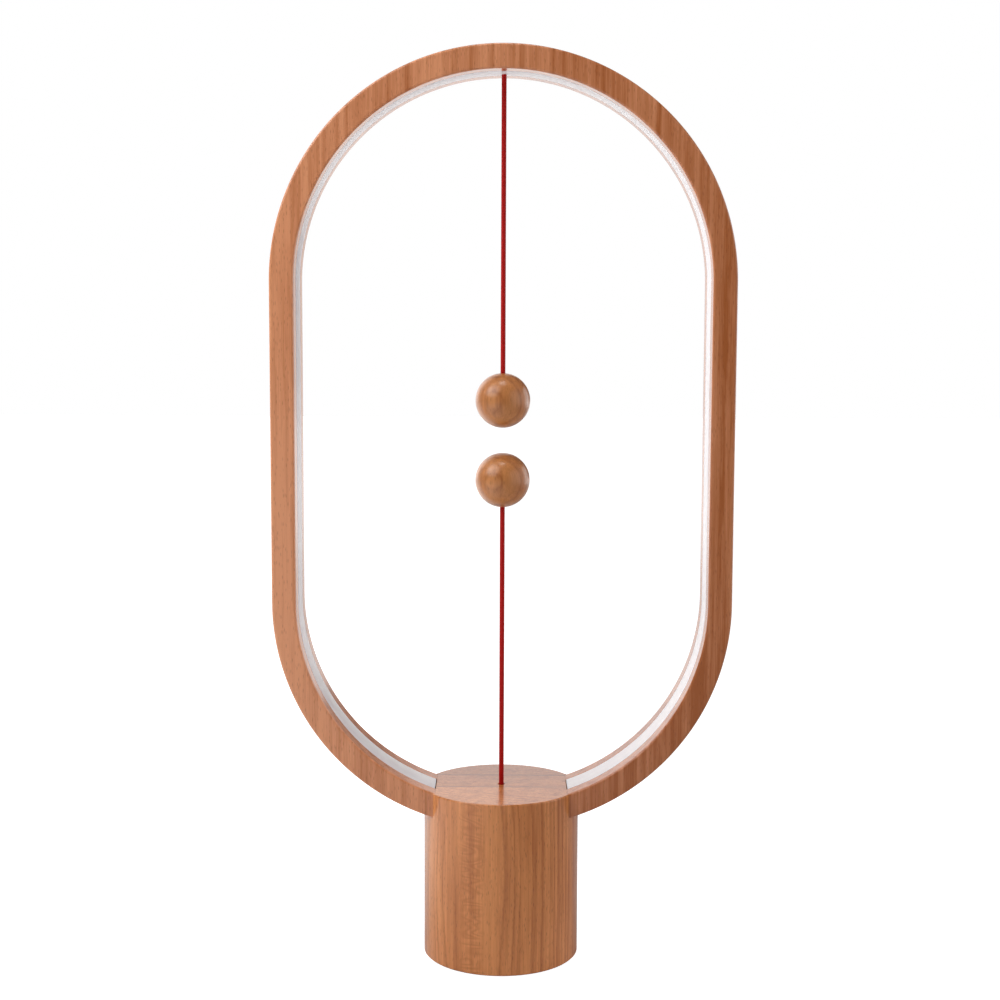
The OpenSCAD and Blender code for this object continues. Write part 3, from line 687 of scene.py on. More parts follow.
def make_cover_material():
    """Milky plastic of the light line, faintly clouded."""
    material, tree, shader, place = new_material("milky_cover")
    cloud = stretched_noise(tree, place, (160, 160, 160), 2.0)
    share = spread(tree, cloud.outputs[0], 0.3, 0.7)
    colour = blend(tree, share, paint(243, 238, 241), paint(250, 247, 249))
    feed(tree, shader.inputs["Base Color"], colour)
    feed(tree, shader.inputs["Roughness"], spread(tree, cloud.outputs[0], 0.3, 0.7, 0.28, 0.34))
    shader.inputs["Subsurface Weight"].default_value = 0.25
    shader.inputs["Subsurface Radius"].default_value = (4 * MM, 4 * MM, 4 * MM)
    shader.inputs["Subsurface Scale"].default_value = 1.0
    return material


def make_tongue_material():
    """Black plastic with a row of gilt contacts along both faces."""
    material, tree, shader, place = new_material("inlet_contacts")
    parts = add(tree, "ShaderNodeSeparateXYZ")
    feed(tree, parts.inputs[0], place)
    along = calc(tree, "ADD", parts.outputs[0], CONTACT_ROW / 2)
    row = calc(tree, "FRACT", calc(tree, "DIVIDE", along, CONTACT_PITCH))
    stripe = calc(tree, "LESS_THAN", calc(tree, "ABSOLUTE", calc(tree, "SUBTRACT", row, 0.5)), 0.28)
    inside = calc(tree, "LESS_THAN", calc(tree, "ABSOLUTE", parts.outputs[0]), CONTACT_ROW / 2)
    gilt = calc(tree, "MULTIPLY", stripe, inside)
    feed(tree, shader.inputs["Base Color"], blend(tree, gilt, paint(30, 30, 32), paint(226, 184, 96)))
    feed(tree, shader.inputs["Metallic"], gilt)
    feed(tree, shader.inputs["Roughness"], spread(tree, gilt, 0.0, 1.0, 0.5, 0.25))
    return material


def make_board_material():
    """Green lacquer over the board's copper paths."""
    material, tree, shader, place = new_material("board_green")
    cells = add(tree, "ShaderNodeTexVoronoi", feature="DISTANCE_TO_EDGE", distance="EUCLIDEAN")
    feed(tree, cells.inputs["Vector"], vector_calc(tree, "MULTIPLY", place, (260, 260, 1)))
    cells.inputs["Scale"].default_value = 1.0
    path = spread(tree, cells.outputs["Distance"], 0.05, 0.09, 1.0, 0.0)
    feed(tree, shader.inputs["Base Color"], blend(tree, path, paint(20, 88, 52), paint(46, 128, 74)))
    feed(tree, shader.inputs["Roughness"], spread(tree, path, 0.0, 1.0, 0.42, 0.3))
    raise_surface(tree, shader, path, 0.03 * MM, 0.4)
    return material


def steel(name, dark, light, smooth, dull):
    return speckled(name, dark, light, smooth, dull, (300, 300, 2400), metallic=1.0)


def make_metals():
    return {
        "screw_steel": steel("screw_steel", paint(150, 152, 156), paint(190, 192, 196), 0.25, 0.4),
        "weight_steel": steel("weight_steel", paint(110, 112, 116), paint(140, 142, 146), 0.4, 0.6),
        "spring_steel": steel("spring_steel", paint(168, 170, 174), paint(204, 206, 210), 0.2, 0.3),
        "socket_steel": steel("inlet_steel", paint(176, 178, 182), paint(206, 208, 212), 0.18, 0.32),
        "magnet": steel("magnet_plate", paint(186, 186, 188), paint(212, 212, 214), 0.12, 0.2),
        "brass": steel("brass", paint(186, 146, 74), paint(216, 178, 98), 0.25, 0.4),
        "copper": steel("copper_wire", paint(170, 92, 56), paint(204, 122, 80), 0.3, 0.45),
    }


def make_plastics():
    fine = (1800, 1800, 1800)
    return {
        "black_plastic": speckled("black_plastic", paint(24, 24, 26), paint(36, 36, 38), 0.42, 0.55, fine),
        "grey_plastic": speckled("grey_plastic", paint(108, 110, 114), paint(126, 128, 132), 0.45, 0.6, fine),
        "capacitor": speckled("capacitor_sleeve", paint(52, 58, 74), paint(66, 72, 90), 0.3, 0.45),
        "lead_cover": speckled("lead_cover", paint(150, 28, 26), paint(176, 40, 36), 0.45, 0.6),
        "strip": speckled("lamp_strip", paint(226, 222, 214), paint(240, 236, 230), 0.5, 0.65),
        "lamp_chip": speckled("lamp_chip", paint(222, 190, 92), paint(240, 214, 120), 0.35, 0.5, fine),
        "foot_foam": speckled("foot_foam", paint(26, 24, 24), paint(44, 41, 40), 0.85, 0.97, fine),
    }


def make_materials():
    pale_ply = speckled("pale_ply", paint(196, 150, 104), paint(222, 184, 138), 0.55, 0.7, (900, 60, 900))
    return {
        **make_metals(),
        **make_plastics(),
        "ring_wood": beech("ring_beech", RING_WOOD, (0, 0, 0), COAT_ROUGH),
        "block_wood": make_block_wood(),
        "ball_wood": beech("ball_beech", BALL_WOOD, (4 * MM, 0, 13 * MM), BALL_COAT_ROUGH),
        "plug_wood": beech("plug_beech", BALL_WOOD, (20 * MM, 10 * MM, 0), BALL_COAT_ROUGH),
        "ply": pale_ply,
        "milky_cover": make_cover_material(),
        "red_string": make_string_material(),
        "board": make_board_material(),
        "inlet_contacts": make_tongue_material(),
    }


# ---- Ring and light line ----


def round_corner(x, y, radius, start_deg, steps=7):
    return arc(x, y, radius, start_deg, start_deg + 90, steps)


def bar_outline(grow, grooved):
    """Outline of the ring's bar from its inner face outwards, with a narrow band beside each round edge."""
    radius = RING_EDGE + grow
    low_x = -grow
    high_x = RING_T + grow
    half = RING_D / 2 + grow
    band = 0.35 * MM
    points = []
    points += [(high_x, -half + radius + band)]
    points += [(high_x, half - radius - band)]
    points += round_corner(high_x - radius, half - radius, radius, 0)
    points += [(high_x - radius - band, half), (low_x + radius + band, half)]
    points += round_corner(low_x + radius, half - radius, radius, 90)
    points += [(low_x, half - radius - band)]
    if grooved:
        lip = 0.2 * MM
        side = GROOVE_W / 2
        points += [(low_x, side + lip), (lip, side), (GROOVE_H, side)]
        points += [(GROOVE_H, -side), (lip, -side), (low_x, -side - lip)]
    points += [(low_x, -half + radius + band)]
    points += round_corner(low_x + radius, -half + radius, radius, 180)
    points += [(low_x + radius + band, -half), (high_x - radius - band, -half)]
    points += round_corner(high_x - radius, -half + radius, radius, 270)
    return points


def cover_outline():
    """Outline of the milky cover: flat back and sides, and a face that swells out of the wood."""
    half = COVER_W / 2
    bow = (half**2 + COVER_RISE**2) / (2 * COVER_RISE)
    points = [(COVER_SIDE, half), (0.0, half)]
    steps = 24
    for i in range(1, steps):
        y = half - 2 * half * i / steps
        points.append((bow - COVER_RISE - math.sqrt(bow**2 - y**2), y))
    points += [(0.0, -half), (COVER_SIDE, -half)]
    return points


def outline_object(name, points):
    """A flat closed outline that the sweep's nodes carry along the loop."""
    curve = bpy.data.curves.new(name, "CURVE")
    curve.dimensions = "3D"
    spline = curve.splines.new("POLY")
    spline.points.add(len(points) - 1)
    for point, (x, y) in zip(spline.points, points):
        point.co = (x, y, 0, 1)
    spline.use_cyclic_u = True
    piece = bpy.data.objects.new(name, curve)
    bpy.context.scene.collection.objects.link(piece)
    return piece


def loop_places(tree, ask):
    """Where each ring of the sweep lies on the loop, and which way is outwards there."""
    radius = ask["Path radius"]
    low_arc = calc(tree, "MULTIPLY", radius, ask["Start angle"])
    side = calc(tree, "SUBTRACT", ask["Upper centre"], ask["Lower centre"])
    top_arc = calc(tree, "MULTIPLY", radius, math.pi)
    ends_and_top = calc(tree, "MULTIPLY_ADD", low_arc, 2.0, top_arc)
    whole = calc(tree, "MULTIPLY_ADD", side, 2.0, ends_and_top)
    index = add(tree, "GeometryNodeInputIndex").outputs[0]
    share = calc(tree, "DIVIDE", index, calc(tree, "SUBTRACT", ask["Rings"], 1.0))
    gone = calc(tree, "MULTIPLY", share, whole)
    passed = []
    for length in (low_arc, side, top_arc, side, low_arc):
        passed.append(calc(tree, "MAXIMUM", calc(tree, "MINIMUM", gone, length), 0.0))
        gone = calc(tree, "SUBTRACT", gone, length)
    first_arc, upward, over, downward, last_arc = passed

    travelled = calc(tree, "ADD", calc(tree, "ADD", first_arc, over), last_arc)
    angle = calc(tree, "SUBTRACT", calc(tree, "DIVIDE", travelled, radius), ask["Start angle"])
    centre = calc(tree, "ADD", ask["Lower centre"], calc(tree, "SUBTRACT", upward, downward))
    outward = add(tree, "ShaderNodeCombineXYZ")
    feed(tree, outward.inputs["X"], calc(tree, "COSINE", angle))
    feed(tree, outward.inputs["Z"], calc(tree, "SINE", angle))
    lift = add(tree, "ShaderNodeCombineXYZ")
    feed(tree, lift.inputs["Z"], centre)
    spoke = add(tree, "ShaderNodeVectorMath", operation="SCALE")
    feed(tree, spoke.inputs[0], outward.outputs[0])
    feed(tree, spoke.inputs["Scale"], radius)
    return vector_calc(tree, "ADD", spoke.outputs[0], lift.outputs[0]), outward.outputs[0]


def make_sweep_tree():
    """Nodes that carry an outline along the loop: up one side, over the top and down the other side."""
    tree = bpy.data.node_groups.new("Sweep along the loop", "GeometryNodeTree")
    face = tree.interface
    face.new_socket("Outline", in_out="INPUT", socket_type="NodeSocketGeometry")
    for label in ("Path radius", "Lower centre", "Upper centre", "Start angle"):
        face.new_socket(label, in_out="INPUT", socket_type=FLOAT)
    face.new_socket("Rings", in_out="INPUT", socket_type="NodeSocketInt")
    face.new_socket("Finish", in_out="INPUT", socket_type="NodeSocketMaterial")
    face.new_socket("Geometry", in_out="OUTPUT", socket_type="NodeSocketGeometry")
    ask = add(tree, "NodeGroupInput").outputs
    end = add(tree, "NodeGroupOutput")

    place, outward = loop_places(tree, ask)
    line = add(tree, "GeometryNodeCurvePrimitiveLine")
    beads = add(tree, "GeometryNodeResampleCurve")
    feed(tree, beads.inputs["Curve"], line.outputs[0])
    feed(tree, beads.inputs["Count"], ask["Rings"])
    loop = add(tree, "GeometryNodeSetPosition")
    feed(tree, loop.inputs["Geometry"], beads.outputs[0])
    feed(tree, loop.inputs["Position"], place)
    upright = add(tree, "GeometryNodeSetCurveNormal", mode="FREE")
    feed(tree, upright.inputs["Curve"], loop.outputs[0])
    feed(tree, upright.inputs["Normal"], outward)
    sweep = add(tree, "GeometryNodeCurveToMesh")
    feed(tree, sweep.inputs["Curve"], upright.outputs[0])
    feed(tree, sweep.inputs["Profile Curve"], ask["Outline"])
    sweep.inputs["Fill Caps"].default_value = True
    real = add(tree, "GeometryNodeRealizeInstances")
    feed(tree, real.inputs[0], sweep.outputs[0])
    finish = add(tree, "GeometryNodeSetMaterial")
    feed(tree, finish.inputs["Geometry"], real.outputs[0])
    feed(tree, finish.inputs["Material"], ask["Finish"])
    feed(tree, end.inputs[0], finish.outputs[0])
    return tree


def swept(name, tree, outline, start_angle, rings, material):
    """The outline carried along the ring's inner face, as a plain mesh."""
    piece = outline_object(name + "_outline", outline)
    change = piece.modifiers.new("sweep", "NODES")
    change.node_group = tree
    values = {
        "Path radius": INNER_R,
        "Lower centre": LOWER_Z,
        "Upper centre": UPPER_Z,
        "Start angle": start_angle,
        "Rings": rings,
        "Finish": material,
    }
    for socket in tree.interface.items_tree:
        if socket.in_out == "INPUT" and socket.name in values:
            change[socket.identifier] = values[socket.name]
    made = applied(piece, name)
    settle(made.data)
    return made


def make_ring(tree, finishes):
    """The wooden ring and the milky light line in its groove."""
    foot_angle = math.acos(FOOT_X / (INNER_R + RING_T / 2))
    bar = bar_outline(0, True)
    ring = swept("wooden_ring", tree, bar, foot_angle, BAR_RINGS, finishes["ring_wood"])
    stand_for(ring, "lamp_body", "ring_frame")

    end_angle = math.asin(MEET_DROP / INNER_R)
    cover = swept("light_cover", tree, cover_outline(), end_angle, COVER_RINGS, finishes["milky_cover"])
    stand_for(cover, "lamp_body", "diffuser")


# ---- Foot block ----


def block_outline():
    """Outline of the turned block: outside, top, the string's way down, and the hollow."""
    band = 0.3 * MM
    mouth = 0.3 * MM
    foot = (BASE_R, PAD_PROUD + BEVEL)
    side = (BASE_R, PAD_PROUD + BEVEL + band)
    shoulder = (BASE_R, BASE_H - RIM - band)
    rim_in = (BASE_R - RIM - band, BASE_H)
    hole_out = (HOLE_R + mouth + band, BASE_H)
    points = [(LEDGE_R, PAD_PROUD), (BASE_R - BEVEL, PAD_PROUD), foot, side]
    points += steps_between(side, shoulder, 14)
    points += [shoulder]
    points += arc(BASE_R - RIM, BASE_H - RIM, RIM, 0, 90, 7)
    points += [rim_in]
    points += steps_between(rim_in, hole_out, 8)
    points += [hole_out, (HOLE_R + mouth, BASE_H), (HOLE_R, BASE_H - mouth)]
    points += [(HOLE_R, BORE_Z), (BORE_R, BORE_Z), (BORE_R, CAVITY_Z)]
    points += [(CAVITY_R, CAVITY_Z), (CAVITY_R, PLATE_Z), (LEDGE_R, PLATE_Z)]
    return points


def oval_loop(half_length, radius, y, steps=16):
    """Points round an upright oval with straight long sides, at one depth."""
    points = []
    for side in (1, -1):
        for i in range(steps + 1):
            angle = math.pi * (i / steps - 0.5)
            x = side * (half_length + radius * math.cos(angle))
            z = side * radius * math.sin(angle)
            points.append(Vector((x, y, INLET_Z + z)))
    return points


def make_block(tree, finishes):
    """The round foot block with the room for the ring's feet and the inlet's window."""
    block = turned("foot_block", block_outline(), BLOCK_SEGMENTS, True)
    foot_angle = math.acos((FOOT_X - WOOD_FIT) / (INNER_R + RING_T / 2))
    bar = bar_outline(WOOD_FIT, False)
    room = swept("feet_room", tree, bar, foot_angle, BAR_RINGS, finishes["block_wood"])
    block = cut(block, room)
    past = 1.5 * MM
    depths = (BASE_R - WINDOW_T, BASE_R + past)
    window = lofted("window", [oval_loop(INLET_HALF, INLET_R + INLET_FIT, y) for y in depths])
    block = cut(block, window)
    settle(block.data, 25)
    block.data.materials.clear()
    block.data.materials.append(finishes["block_wood"])
    stand_for(block, "lamp_body", "base_body")


def make_pad(finishes):
    edge = 0.25 * MM
    outline = [(0, 0), (PAD_R - edge, 0), (PAD_R, edge)]
    outline += [(PAD_R, PAD_T - edge), (PAD_R - edge, PAD_T), (0, PAD_T)]
    pad = turned("soft_foot_pad", outline, PAD_SEGMENTS, False)
    pad.data.materials.append(finishes["foot_foam"])
    stand_for(pad, "lamp_body", "foot_pad")


def inlet_body_loops():
    """Round the body from back to front, then into the mouth."""
    gap = 0.1 * MM
    soft = 0.3 * MM
    return [
        oval_loop(INLET_HALF, INLET_R, INLET_Y - INLET_T),
        oval_loop(INLET_HALF, INLET_R, INLET_Y - soft),
        oval_loop(INLET_HALF, INLET_R - 0.3 * soft, INLET_Y - 0.3 * soft),
        oval_loop(INLET_HALF, INLET_R - soft, INLET_Y),
        oval_loop(MOUTH_HALF, MOUTH_R + gap + soft, INLET_Y),
        oval_loop(MOUTH_HALF, MOUTH_R + gap, INLET_Y - soft),
        oval_loop(MOUTH_HALF, MOUTH_R + gap, MOUTH_FLOOR - gap),
    ]


def inlet_shell_loops():
    """Along the outside of the steel mouth, round its front edge and back inside to its floor."""
    lip = 0.1 * MM
    return [
        oval_loop(MOUTH_HALF, MOUTH_R, MOUTH_FLOOR),
        oval_loop(MOUTH_HALF, MOUTH_R, INLET_Y - lip),
        oval_loop(MOUTH_HALF, MOUTH_R - 0.5 * MOUTH_WALL, INLET_Y),
        oval_loop(MOUTH_HALF, MOUTH_R - MOUTH_WALL, INLET_Y - lip),
        oval_loop(MOUTH_HALF, MOUTH_R - MOUTH_WALL, MOUTH_FLOOR + MOUTH_WALL),
    ]


def inlet_tongue_loops():
    """Four corners at the root, before the tip and at the thinner tip."""
    tip = 0.4 * MM
    thinner = 0.18 * MM
    loops = []
    for less, along in ((0, 0), (0, TONGUE_L - tip), (thinner, TONGUE_L)):
        x = TONGUE_HALF - less
        z = TONGUE_HALF_T - less
        y = MOUTH_FLOOR + MOUTH_WALL + along
        corners = ((-x, -z), (x, -z), (x, z), (-x, z))
        loops.append([Vector((corner_x, y, INLET_Z + corner_z)) for corner_x, corner_z in corners])
    return loops


def make_inlet(finishes):
    """The power inlet in the back of the block: black body, steel mouth and contact tongue."""
    parts = (
        ("inlet_body", inlet_body_loops(), "black_plastic", "power_socket", "black_plastic"),
        ("inlet_shell", inlet_shell_loops(), "socket_steel", "socket_shell", "socket_steel"),
        ("inlet_tongue", inlet_tongue_loops(), "inlet_contacts", "socket_tongue", "black_plastic"),
    )
    for name, loops, finish, node, slot in parts:
        piece = lofted(name, loops)
        piece.data.materials.append(finishes[finish])
        stand_for(piece, "lamp_body", node)


# ---- Balls ----


def ball_outline():
    """Outline of a ball, its string leaving upwards and its plug below, with the rooms inside it."""
    hole_z = math.sqrt(BALL_R**2 - THREAD_HOLE_R**2)
    hole_deg = math.degrees(math.atan2(hole_z, THREAD_HOLE_R)) - 1.2
    recess_r = PLUG_R + 0.05 * MM
    recess_z = -math.sqrt(BALL_R**2 - recess_r**2)
    recess_deg = math.degrees(math.atan2(recess_z, recess_r)) + 0.6
    seat = -(BALL_R - PLUG_T)
    magnet_top = seat + MAGNET_T
    magnet_r = MAGNET_R + 0.1 * MM
    knot_r = KNOT_R + 0.3 * MM
    knot_top = magnet_top + 4.5 * MM
    points = arc(0, 0, BALL_R, recess_deg, hole_deg, 88)
    points += [(THREAD_HOLE_R, hole_z - 0.25 * MM), (THREAD_HOLE_R, knot_top), (knot_r, knot_top)]
    points += [(knot_r, magnet_top), (magnet_r, magnet_top), (magnet_r, seat)]
    points += [(recess_r, seat), (recess_r, recess_z + 0.15 * MM)]
    return points


def plug_outline():
    seat = -(BALL_R - PLUG_T)
    edge_z = -math.sqrt(BALL_R**2 - PLUG_R**2)
    edge_deg = math.degrees(math.atan2(edge_z, PLUG_R))
    points = [(0, seat), (PLUG_R, seat), (PLUG_R, edge_z + 0.1 * MM)]
    points += arc(0, 0, BALL_R, edge_deg - 0.5, -90, 20)
    return points


def upside_down(outline):
    return [(r, -z) for r, z in outline]


def make_balls(finishes):
    """The two magnet balls; the lower one is the same ball upside down."""
    places = (("upper", UPPER_BALL_Z, False, "upper_pendulum"), ("lower", LOWER_BALL_Z, True, "lower_tether"))
    parts = (("ball", ball_outline(), BALL_SEGMENTS, True), ("plug", plug_outline(), PLUG_SEGMENTS, False))
    for side, height, flipped, body in places:
        for kind, outline, segments, closed in parts:
            shape = upside_down(outline) if flipped else outline
            piece = turned(side + "_wooden_" + kind, shape, segments, closed)
            place_mesh(piece, Vector((0, 0, height)))
            piece.data.materials.append(finishes[kind + "_wood"])
            stand_for(piece, body, side + "_" + kind)


# ---- Strings ----

BRAID_STRANDS = 6
BRAID_PITCH = 3.6 * MM
BRAID_DEPTH = 0.07 * MM
BEAD_SHARE = 0.05
ELBOW_R = STRING_R - 0.06 * MM


def braid_crest(turn, along):
    """Height of the braid's surface from 0 to 1, where two sets of strands cross over and under."""
    rising = BRAID_STRANDS * (turn + along / BRAID_PITCH / 2)
    falling = BRAID_STRANDS * (turn - along / BRAID_PITCH / 2)
    over = 0.5 + 0.5 * math.sin(math.pi * (rising + falling)) * math.sin(math.pi * (rising - falling))
    first = abs(math.sin(math.pi * rising)) * (0.55 + 0.45 * over)
    second = abs(math.sin(math.pi * falling)) * (1.0 - 0.45 * over)
    return max(first, second)


def braid_heights(low, high, low_cap, high_cap):
    """Height and share of the full radius, ring by ring; a cap is a round end past that height."""
    heights = []
    if low_cap:
        heights += [(low - STRING_R * math.sin(a), math.cos(a)) for a in cap_angles()][::-1]
    count = max(2, round((high - low) / STRING_STEP))
    heights += [(low + (high - low) * i / count, 1.0) for i in range(count + 1)]
    if high_cap:
        heights += [(high + STRING_R * math.sin(a), math.cos(a)) for a in cap_angles()]
    return heights


def upright_braid(name, heights, material):
    """Braided string straight up through the rings' heights."""
    shape = bmesh.new()
    crest = shape.verts.layers.float.new("crest")
    rings = []
    for height, share in heights:
        ring = []
        for i in range(STRING_SIDES):
            turn = i / STRING_SIDES
            lift = braid_crest(turn, height)
            radius = (STRING_R - BRAID_DEPTH * (1 - lift)) * share
            angle = 2 * math.pi * turn
            vertex = shape.verts.new((radius * math.cos(angle), radius * math.sin(angle), height))
            vertex[crest] = lift
            ring.append(vertex)
        rings.append(ring)
    for below, above in zip(rings, rings[1:]):
        bridge(shape, below, above)
    shape.faces.new(rings[0])
    shape.faces.new(rings[-1])
    bmesh.ops.recalc_face_normals(shape, faces=shape.faces)
    mesh = mesh_of(name, shape)
    shade_smooth(mesh)
    mesh.materials.append(material)
    return new_piece(name, mesh)


def cap_angles():
    return [math.radians(a) for a in (18, 36, 54, 70, 82)]


def make_bead(name, height, radius, material):
    """A small round length of string: the turning point of a bend, or a knot."""
    shape = bmesh.new()
    bmesh.ops.create_icosphere(shape, subdivisions=4, radius=radius)
    crest = shape.verts.layers.float.new("crest")
    for vertex in shape.verts:
        turn = math.atan2(vertex.co.y, vertex.co.x) / (2 * math.pi)
        lift = braid_crest(turn, vertex.co.z + height)
        vertex.co *= 1 - (1 - lift) * BEAD_SHARE
        vertex[crest] = lift
    mesh = mesh_of(name, shape)
    shade_smooth(mesh)
    mesh.materials.append(material)
    bead = new_piece(name, mesh)
    place_mesh(bead, Vector((0, 0, height)))
    return bead


def make_length(name, heights, body, node, red):
    """One straight length of string, as its bends leave it."""
    length = upright_braid(name, heights, red)
    stand_for(length, body, node)
    return length


def make_elbow(name, height, body, node, red):
    elbow = make_bead(name, height, ELBOW_R, red)
    stand_for(elbow, body, node)
    return elbow


def make_knot(name, height, body, red):
    knot = make_bead(name, height, KNOT_R, red)
    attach(knot, body)
    return knot


def make_upper_string(red):
    """From the bush in the ring's top, past its bend, down to the knot in the upper ball."""
    heights = braid_heights(UPPER_BEND_Z, ROOT_TOP_Z, True, False)
    root = make_length("upper_string_top", heights, "lamp_body", "upper_string_root", red)
    elbow = make_elbow("upper_string_elbow", UPPER_BEND_Z, "upper_bend", "upper_string_bend", red)
    knot = make_knot("upper_knot", UPPER_KNOT_Z, "upper_pendulum", red)
    heights = braid_heights(UPPER_KNOT_Z, UPPER_BEND_Z, False, True)
    upper = make_length("upper_red_string", heights, "upper_pendulum", "upper_string", red)


def make_lower_string(red):
    """From its bend above the foot block up to the knot in the lower ball."""
    elbow = make_elbow("lower_string_elbow", LOWER_BEND_Z, "lower_bend", "lower_string_bend", red)
    knot = make_knot("lower_knot", LOWER_KNOT_Z, "lower_tether", red)
    heights = braid_heights(LOWER_BEND_Z, LOWER_KNOT_Z, True, False)
    lower = make_length("lower_red_string", heights, "lower_tether", "lower_string", red)


def make_switch_string(red):
    """From the knot under the switch's slider up through the foot block to the lower bend."""
    knot = make_knot("switch_knot", PULL_KNOT_Z, "switch_pull", red)
    heights = braid_heights(PULL_KNOT_Z, LOWER_BEND_Z, False, True)
    pull = make_length("switch_red_string", heights, "switch_pull", "pull_string", red)


# ---- Pieces that stay as the CAD made them ----

NODE_FINISHES = {
    "base_plate": "ply",
    "base_plate_screws": "screw_steel",
    "counterweight": "weight_steel",
    "counterweight_screws": "screw_steel",
    "board_posts": "brass",
    "circuit_board": "board",
    "board_screws": "screw_steel",
    "driver_chip": "black_plastic",
    "choke_coil": "copper",
    "capacitors": "capacitor",
    "resistors": "black_plastic",
    "switch_housing": "grey_plastic",
    "switch_screws": "screw_steel",
    "switch_cover": "grey_plastic",
    "fixed_contacts": "brass",
    "contact_bridge": "brass",
    "switch_slider": "black_plastic",
    "return_spring": "spring_steel",
    "string_guide": "grey_plastic",
    "switch_leads": "lead_cover",
    "light_leads": "lead_cover",
    "ring_foot_screws": "screw_steel",
    "led_strip_left": "strip",
    "led_strip_right": "strip",
    "led_chips": "lamp_chip",
    "string_anchor": "brass",
    "upper_magnet": "magnet",
    "lower_magnet": "magnet",
}


def dress_nodes(finishes):
    for node, finish in NODE_FINISHES.items():
        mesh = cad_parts[node].data
        mesh.materials.clear()
        mesh.materials.append(finishes[finish])


# ---- Studio ----

FLOOR_HALF = 4.0
FLOOR_SEEN = 0.9
FLOOR_FAR = 1.0
FLOOR_LEFT = 1.0
PAPER_LIGHT = 1.05
ROOM_LIGHT = 0.08


def make_floor():
    """A plain floor, lit further back and painted darker to the right as shade, that the camera sees as white
    but for a trace of shadow.
    """
    material, tree, shader, place = new_material("pale_floor")
    parts = add(tree, "ShaderNodeSeparateXYZ")
    feed(tree, parts.inputs[0], place)
    cloud = stretched_noise(tree, place, (3, 3, 3), 2.0)
    # Painted shade: the floor's colour is darker to the right of the lamp, standing in for the shade that
    # falls there.
    rightward = spread(tree, parts.outputs[0], -0.05, 0.15)
    share = calc(tree, "MULTIPLY_ADD", cloud.outputs[0], 0.1, rightward)
    colour = blend(tree, share, (0.88, 0.88, 0.88, 1), (0.45, 0.45, 0.45, 1))
    feed(tree, shader.inputs["Base Color"], colour)
    shader.inputs["Roughness"].default_value = 0.9
    shader.inputs["Emission Color"].default_value = (1, 1, 1, 1)
    seen = add(tree, "ShaderNodeLightPath").outputs["Is Camera Ray"]
    far = spread(tree, parts.outputs[1], 0.4, 1.6, 0.0, FLOOR_FAR)
    behind = spread(tree, parts.outputs[1], 0.1, 0.35, 0.5, 1.0)
    left = calc(tree, "MULTIPLY", spread(tree, parts.outputs[0], -0.24, -0.07, FLOOR_LEFT, 0.0), behind)
    lit = calc(tree, "MAXIMUM", far, left)
    white = calc(tree, "MULTIPLY", seen, calc(tree, "MAXIMUM", far, FLOOR_SEEN))
    feed(tree, shader.inputs["Emission Strength"], calc(tree, "MAXIMUM", white, lit))
    mesh = bpy.data.meshes.new("pale_floor")
    half = FLOOR_HALF
    corners = [(-half, -half, 0), (half, -half, 0), (half, half, 0), (-half, half, 0)]
    mesh.from_pydata(corners, [], [(0, 1, 2, 3)])
    mesh.materials.append(material)
    floor = new_piece("pale_floor", mesh)


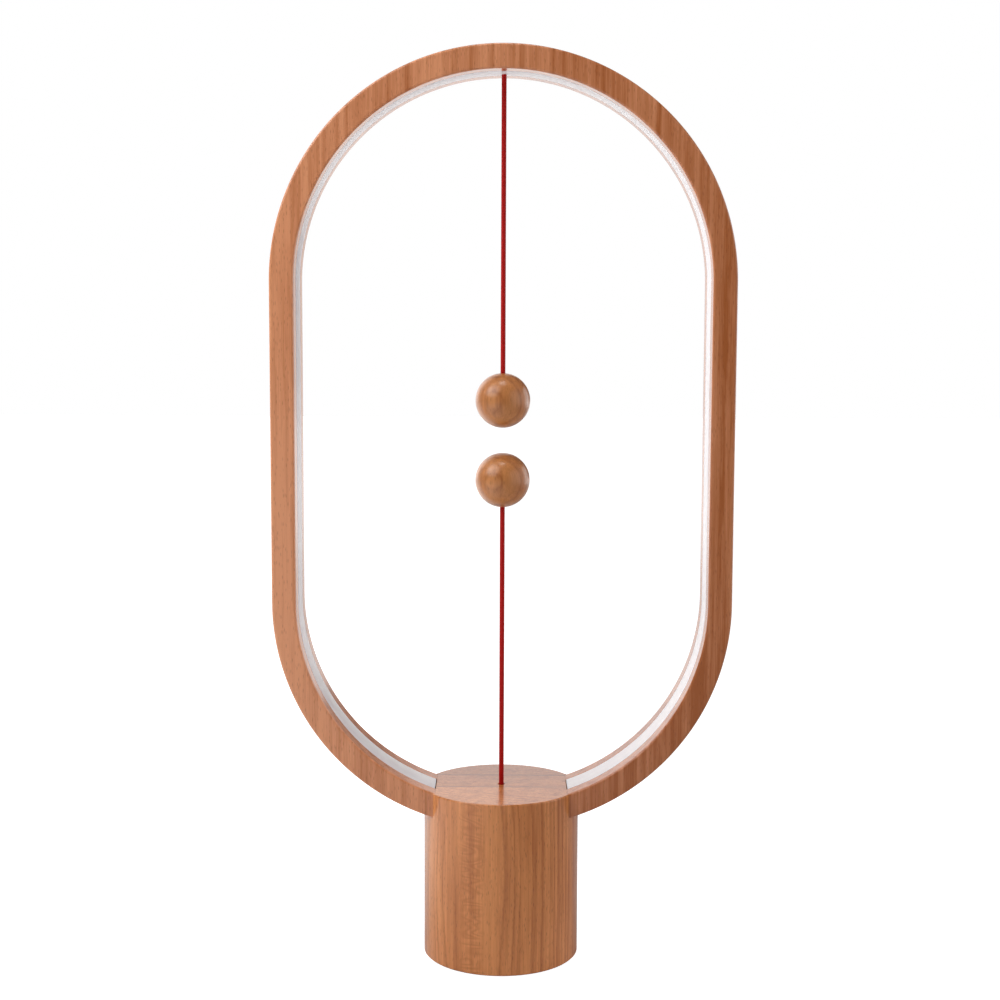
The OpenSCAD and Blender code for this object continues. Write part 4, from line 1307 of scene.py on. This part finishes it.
def make_surroundings():
    """White paper behind the lamp, from far left to just right of it, in a dim room."""
    world = bpy.data.worlds.new("white_studio")
    bpy.context.scene.world = world
    world.use_nodes = True
    tree = world.node_tree
    tree.nodes.clear()
    way = add(tree, "ShaderNodeTexCoord").outputs["Generated"]
    parts = add(tree, "ShaderNodeSeparateXYZ")
    feed(tree, parts.inputs[0], way)
    rightward = calc(tree, "ARCTAN2", parts.outputs[0], parts.outputs[1])
    from_left = spread(tree, rightward, -1.2, -0.7)
    to_right = spread(tree, rightward, 0.13, 0.22, 1.0, 0.0)
    beside = spread(tree, rightward, -0.55, -0.25, 1.8, 1.0)
    low = spread(tree, parts.outputs[2], 0.45, 0.8, 1.0, 0.0)
    paper = calc(tree, "MULTIPLY", calc(tree, "MULTIPLY", from_left, to_right), low)
    walls = add(tree, "ShaderNodeBackground")
    walls.inputs["Color"].default_value = (1.0, 0.985, 0.98, 1)
    light = spread(tree, paper, 0.0, 1.0, ROOM_LIGHT, PAPER_LIGHT)
    feed(tree, walls.inputs["Strength"], calc(tree, "MULTIPLY", light, beside))
    seen = add(tree, "ShaderNodeBackground")
    seen.inputs["Color"].default_value = (1, 1, 1, 1)
    seen.inputs["Strength"].default_value = 1.0
    choose = add(tree, "ShaderNodeMixShader")
    feed(tree, choose.inputs[0], add(tree, "ShaderNodeLightPath").outputs["Is Camera Ray"])
    feed(tree, choose.inputs[1], walls.outputs[0])
    feed(tree, choose.inputs[2], seen.outputs[0])
    end = add(tree, "ShaderNodeOutputWorld")
    feed(tree, end.inputs["Surface"], choose.outputs[0])


def make_softbox(name, place, target, width, height, power):
    data = bpy.data.lights.new(name, "AREA")
    data.shape = "RECTANGLE"
    data.size = width
    data.size_y = height
    data.energy = power
    light = bpy.data.objects.new(name, data)
    bpy.context.scene.collection.objects.link(light)
    light.location = place
    aim = Vector(target) - Vector(place)
    light.rotation_mode = "QUATERNION"
    light.rotation_quaternion = aim.to_track_quat("-Z", "Y")
    light.visible_camera = False


def make_lights():
    middle = (0, 0, 0.22)
    make_softbox("overhead_softbox", (-0.02, -0.12, 1.25), middle, 0.28, 0.28, 2.2)
    make_softbox("left_softbox", (-0.60, -0.12, 0.71), middle, 0.26, 0.26, 0.6)
    make_softbox("left_screen", (-0.48, -0.34, 0.74), middle, 0.6, 0.6, 3.4)
    make_softbox("right_softbox", (0.85, -0.45, 0.45), middle, 1.0, 1.0, 2.4)
    make_softbox("right_screen", (1.0, 0.32, 0.34), middle, 1.2, 0.7, 5.0)


def main():
    make_camera()
    finishes = make_materials()
    make_upper_string(finishes["red_string"])
    make_lower_string(finishes["red_string"])
    make_switch_string(finishes["red_string"])
    sweep = make_sweep_tree()
    make_ring(sweep, finishes)
    make_block(sweep, finishes)
    make_pad(finishes)
    make_inlet(finishes)
    make_balls(finishes)
    dress_nodes(finishes)
    make_floor()
    make_surroundings()
    make_lights()
    bpy.context.scene.view_settings.view_transform = "Standard"


main()
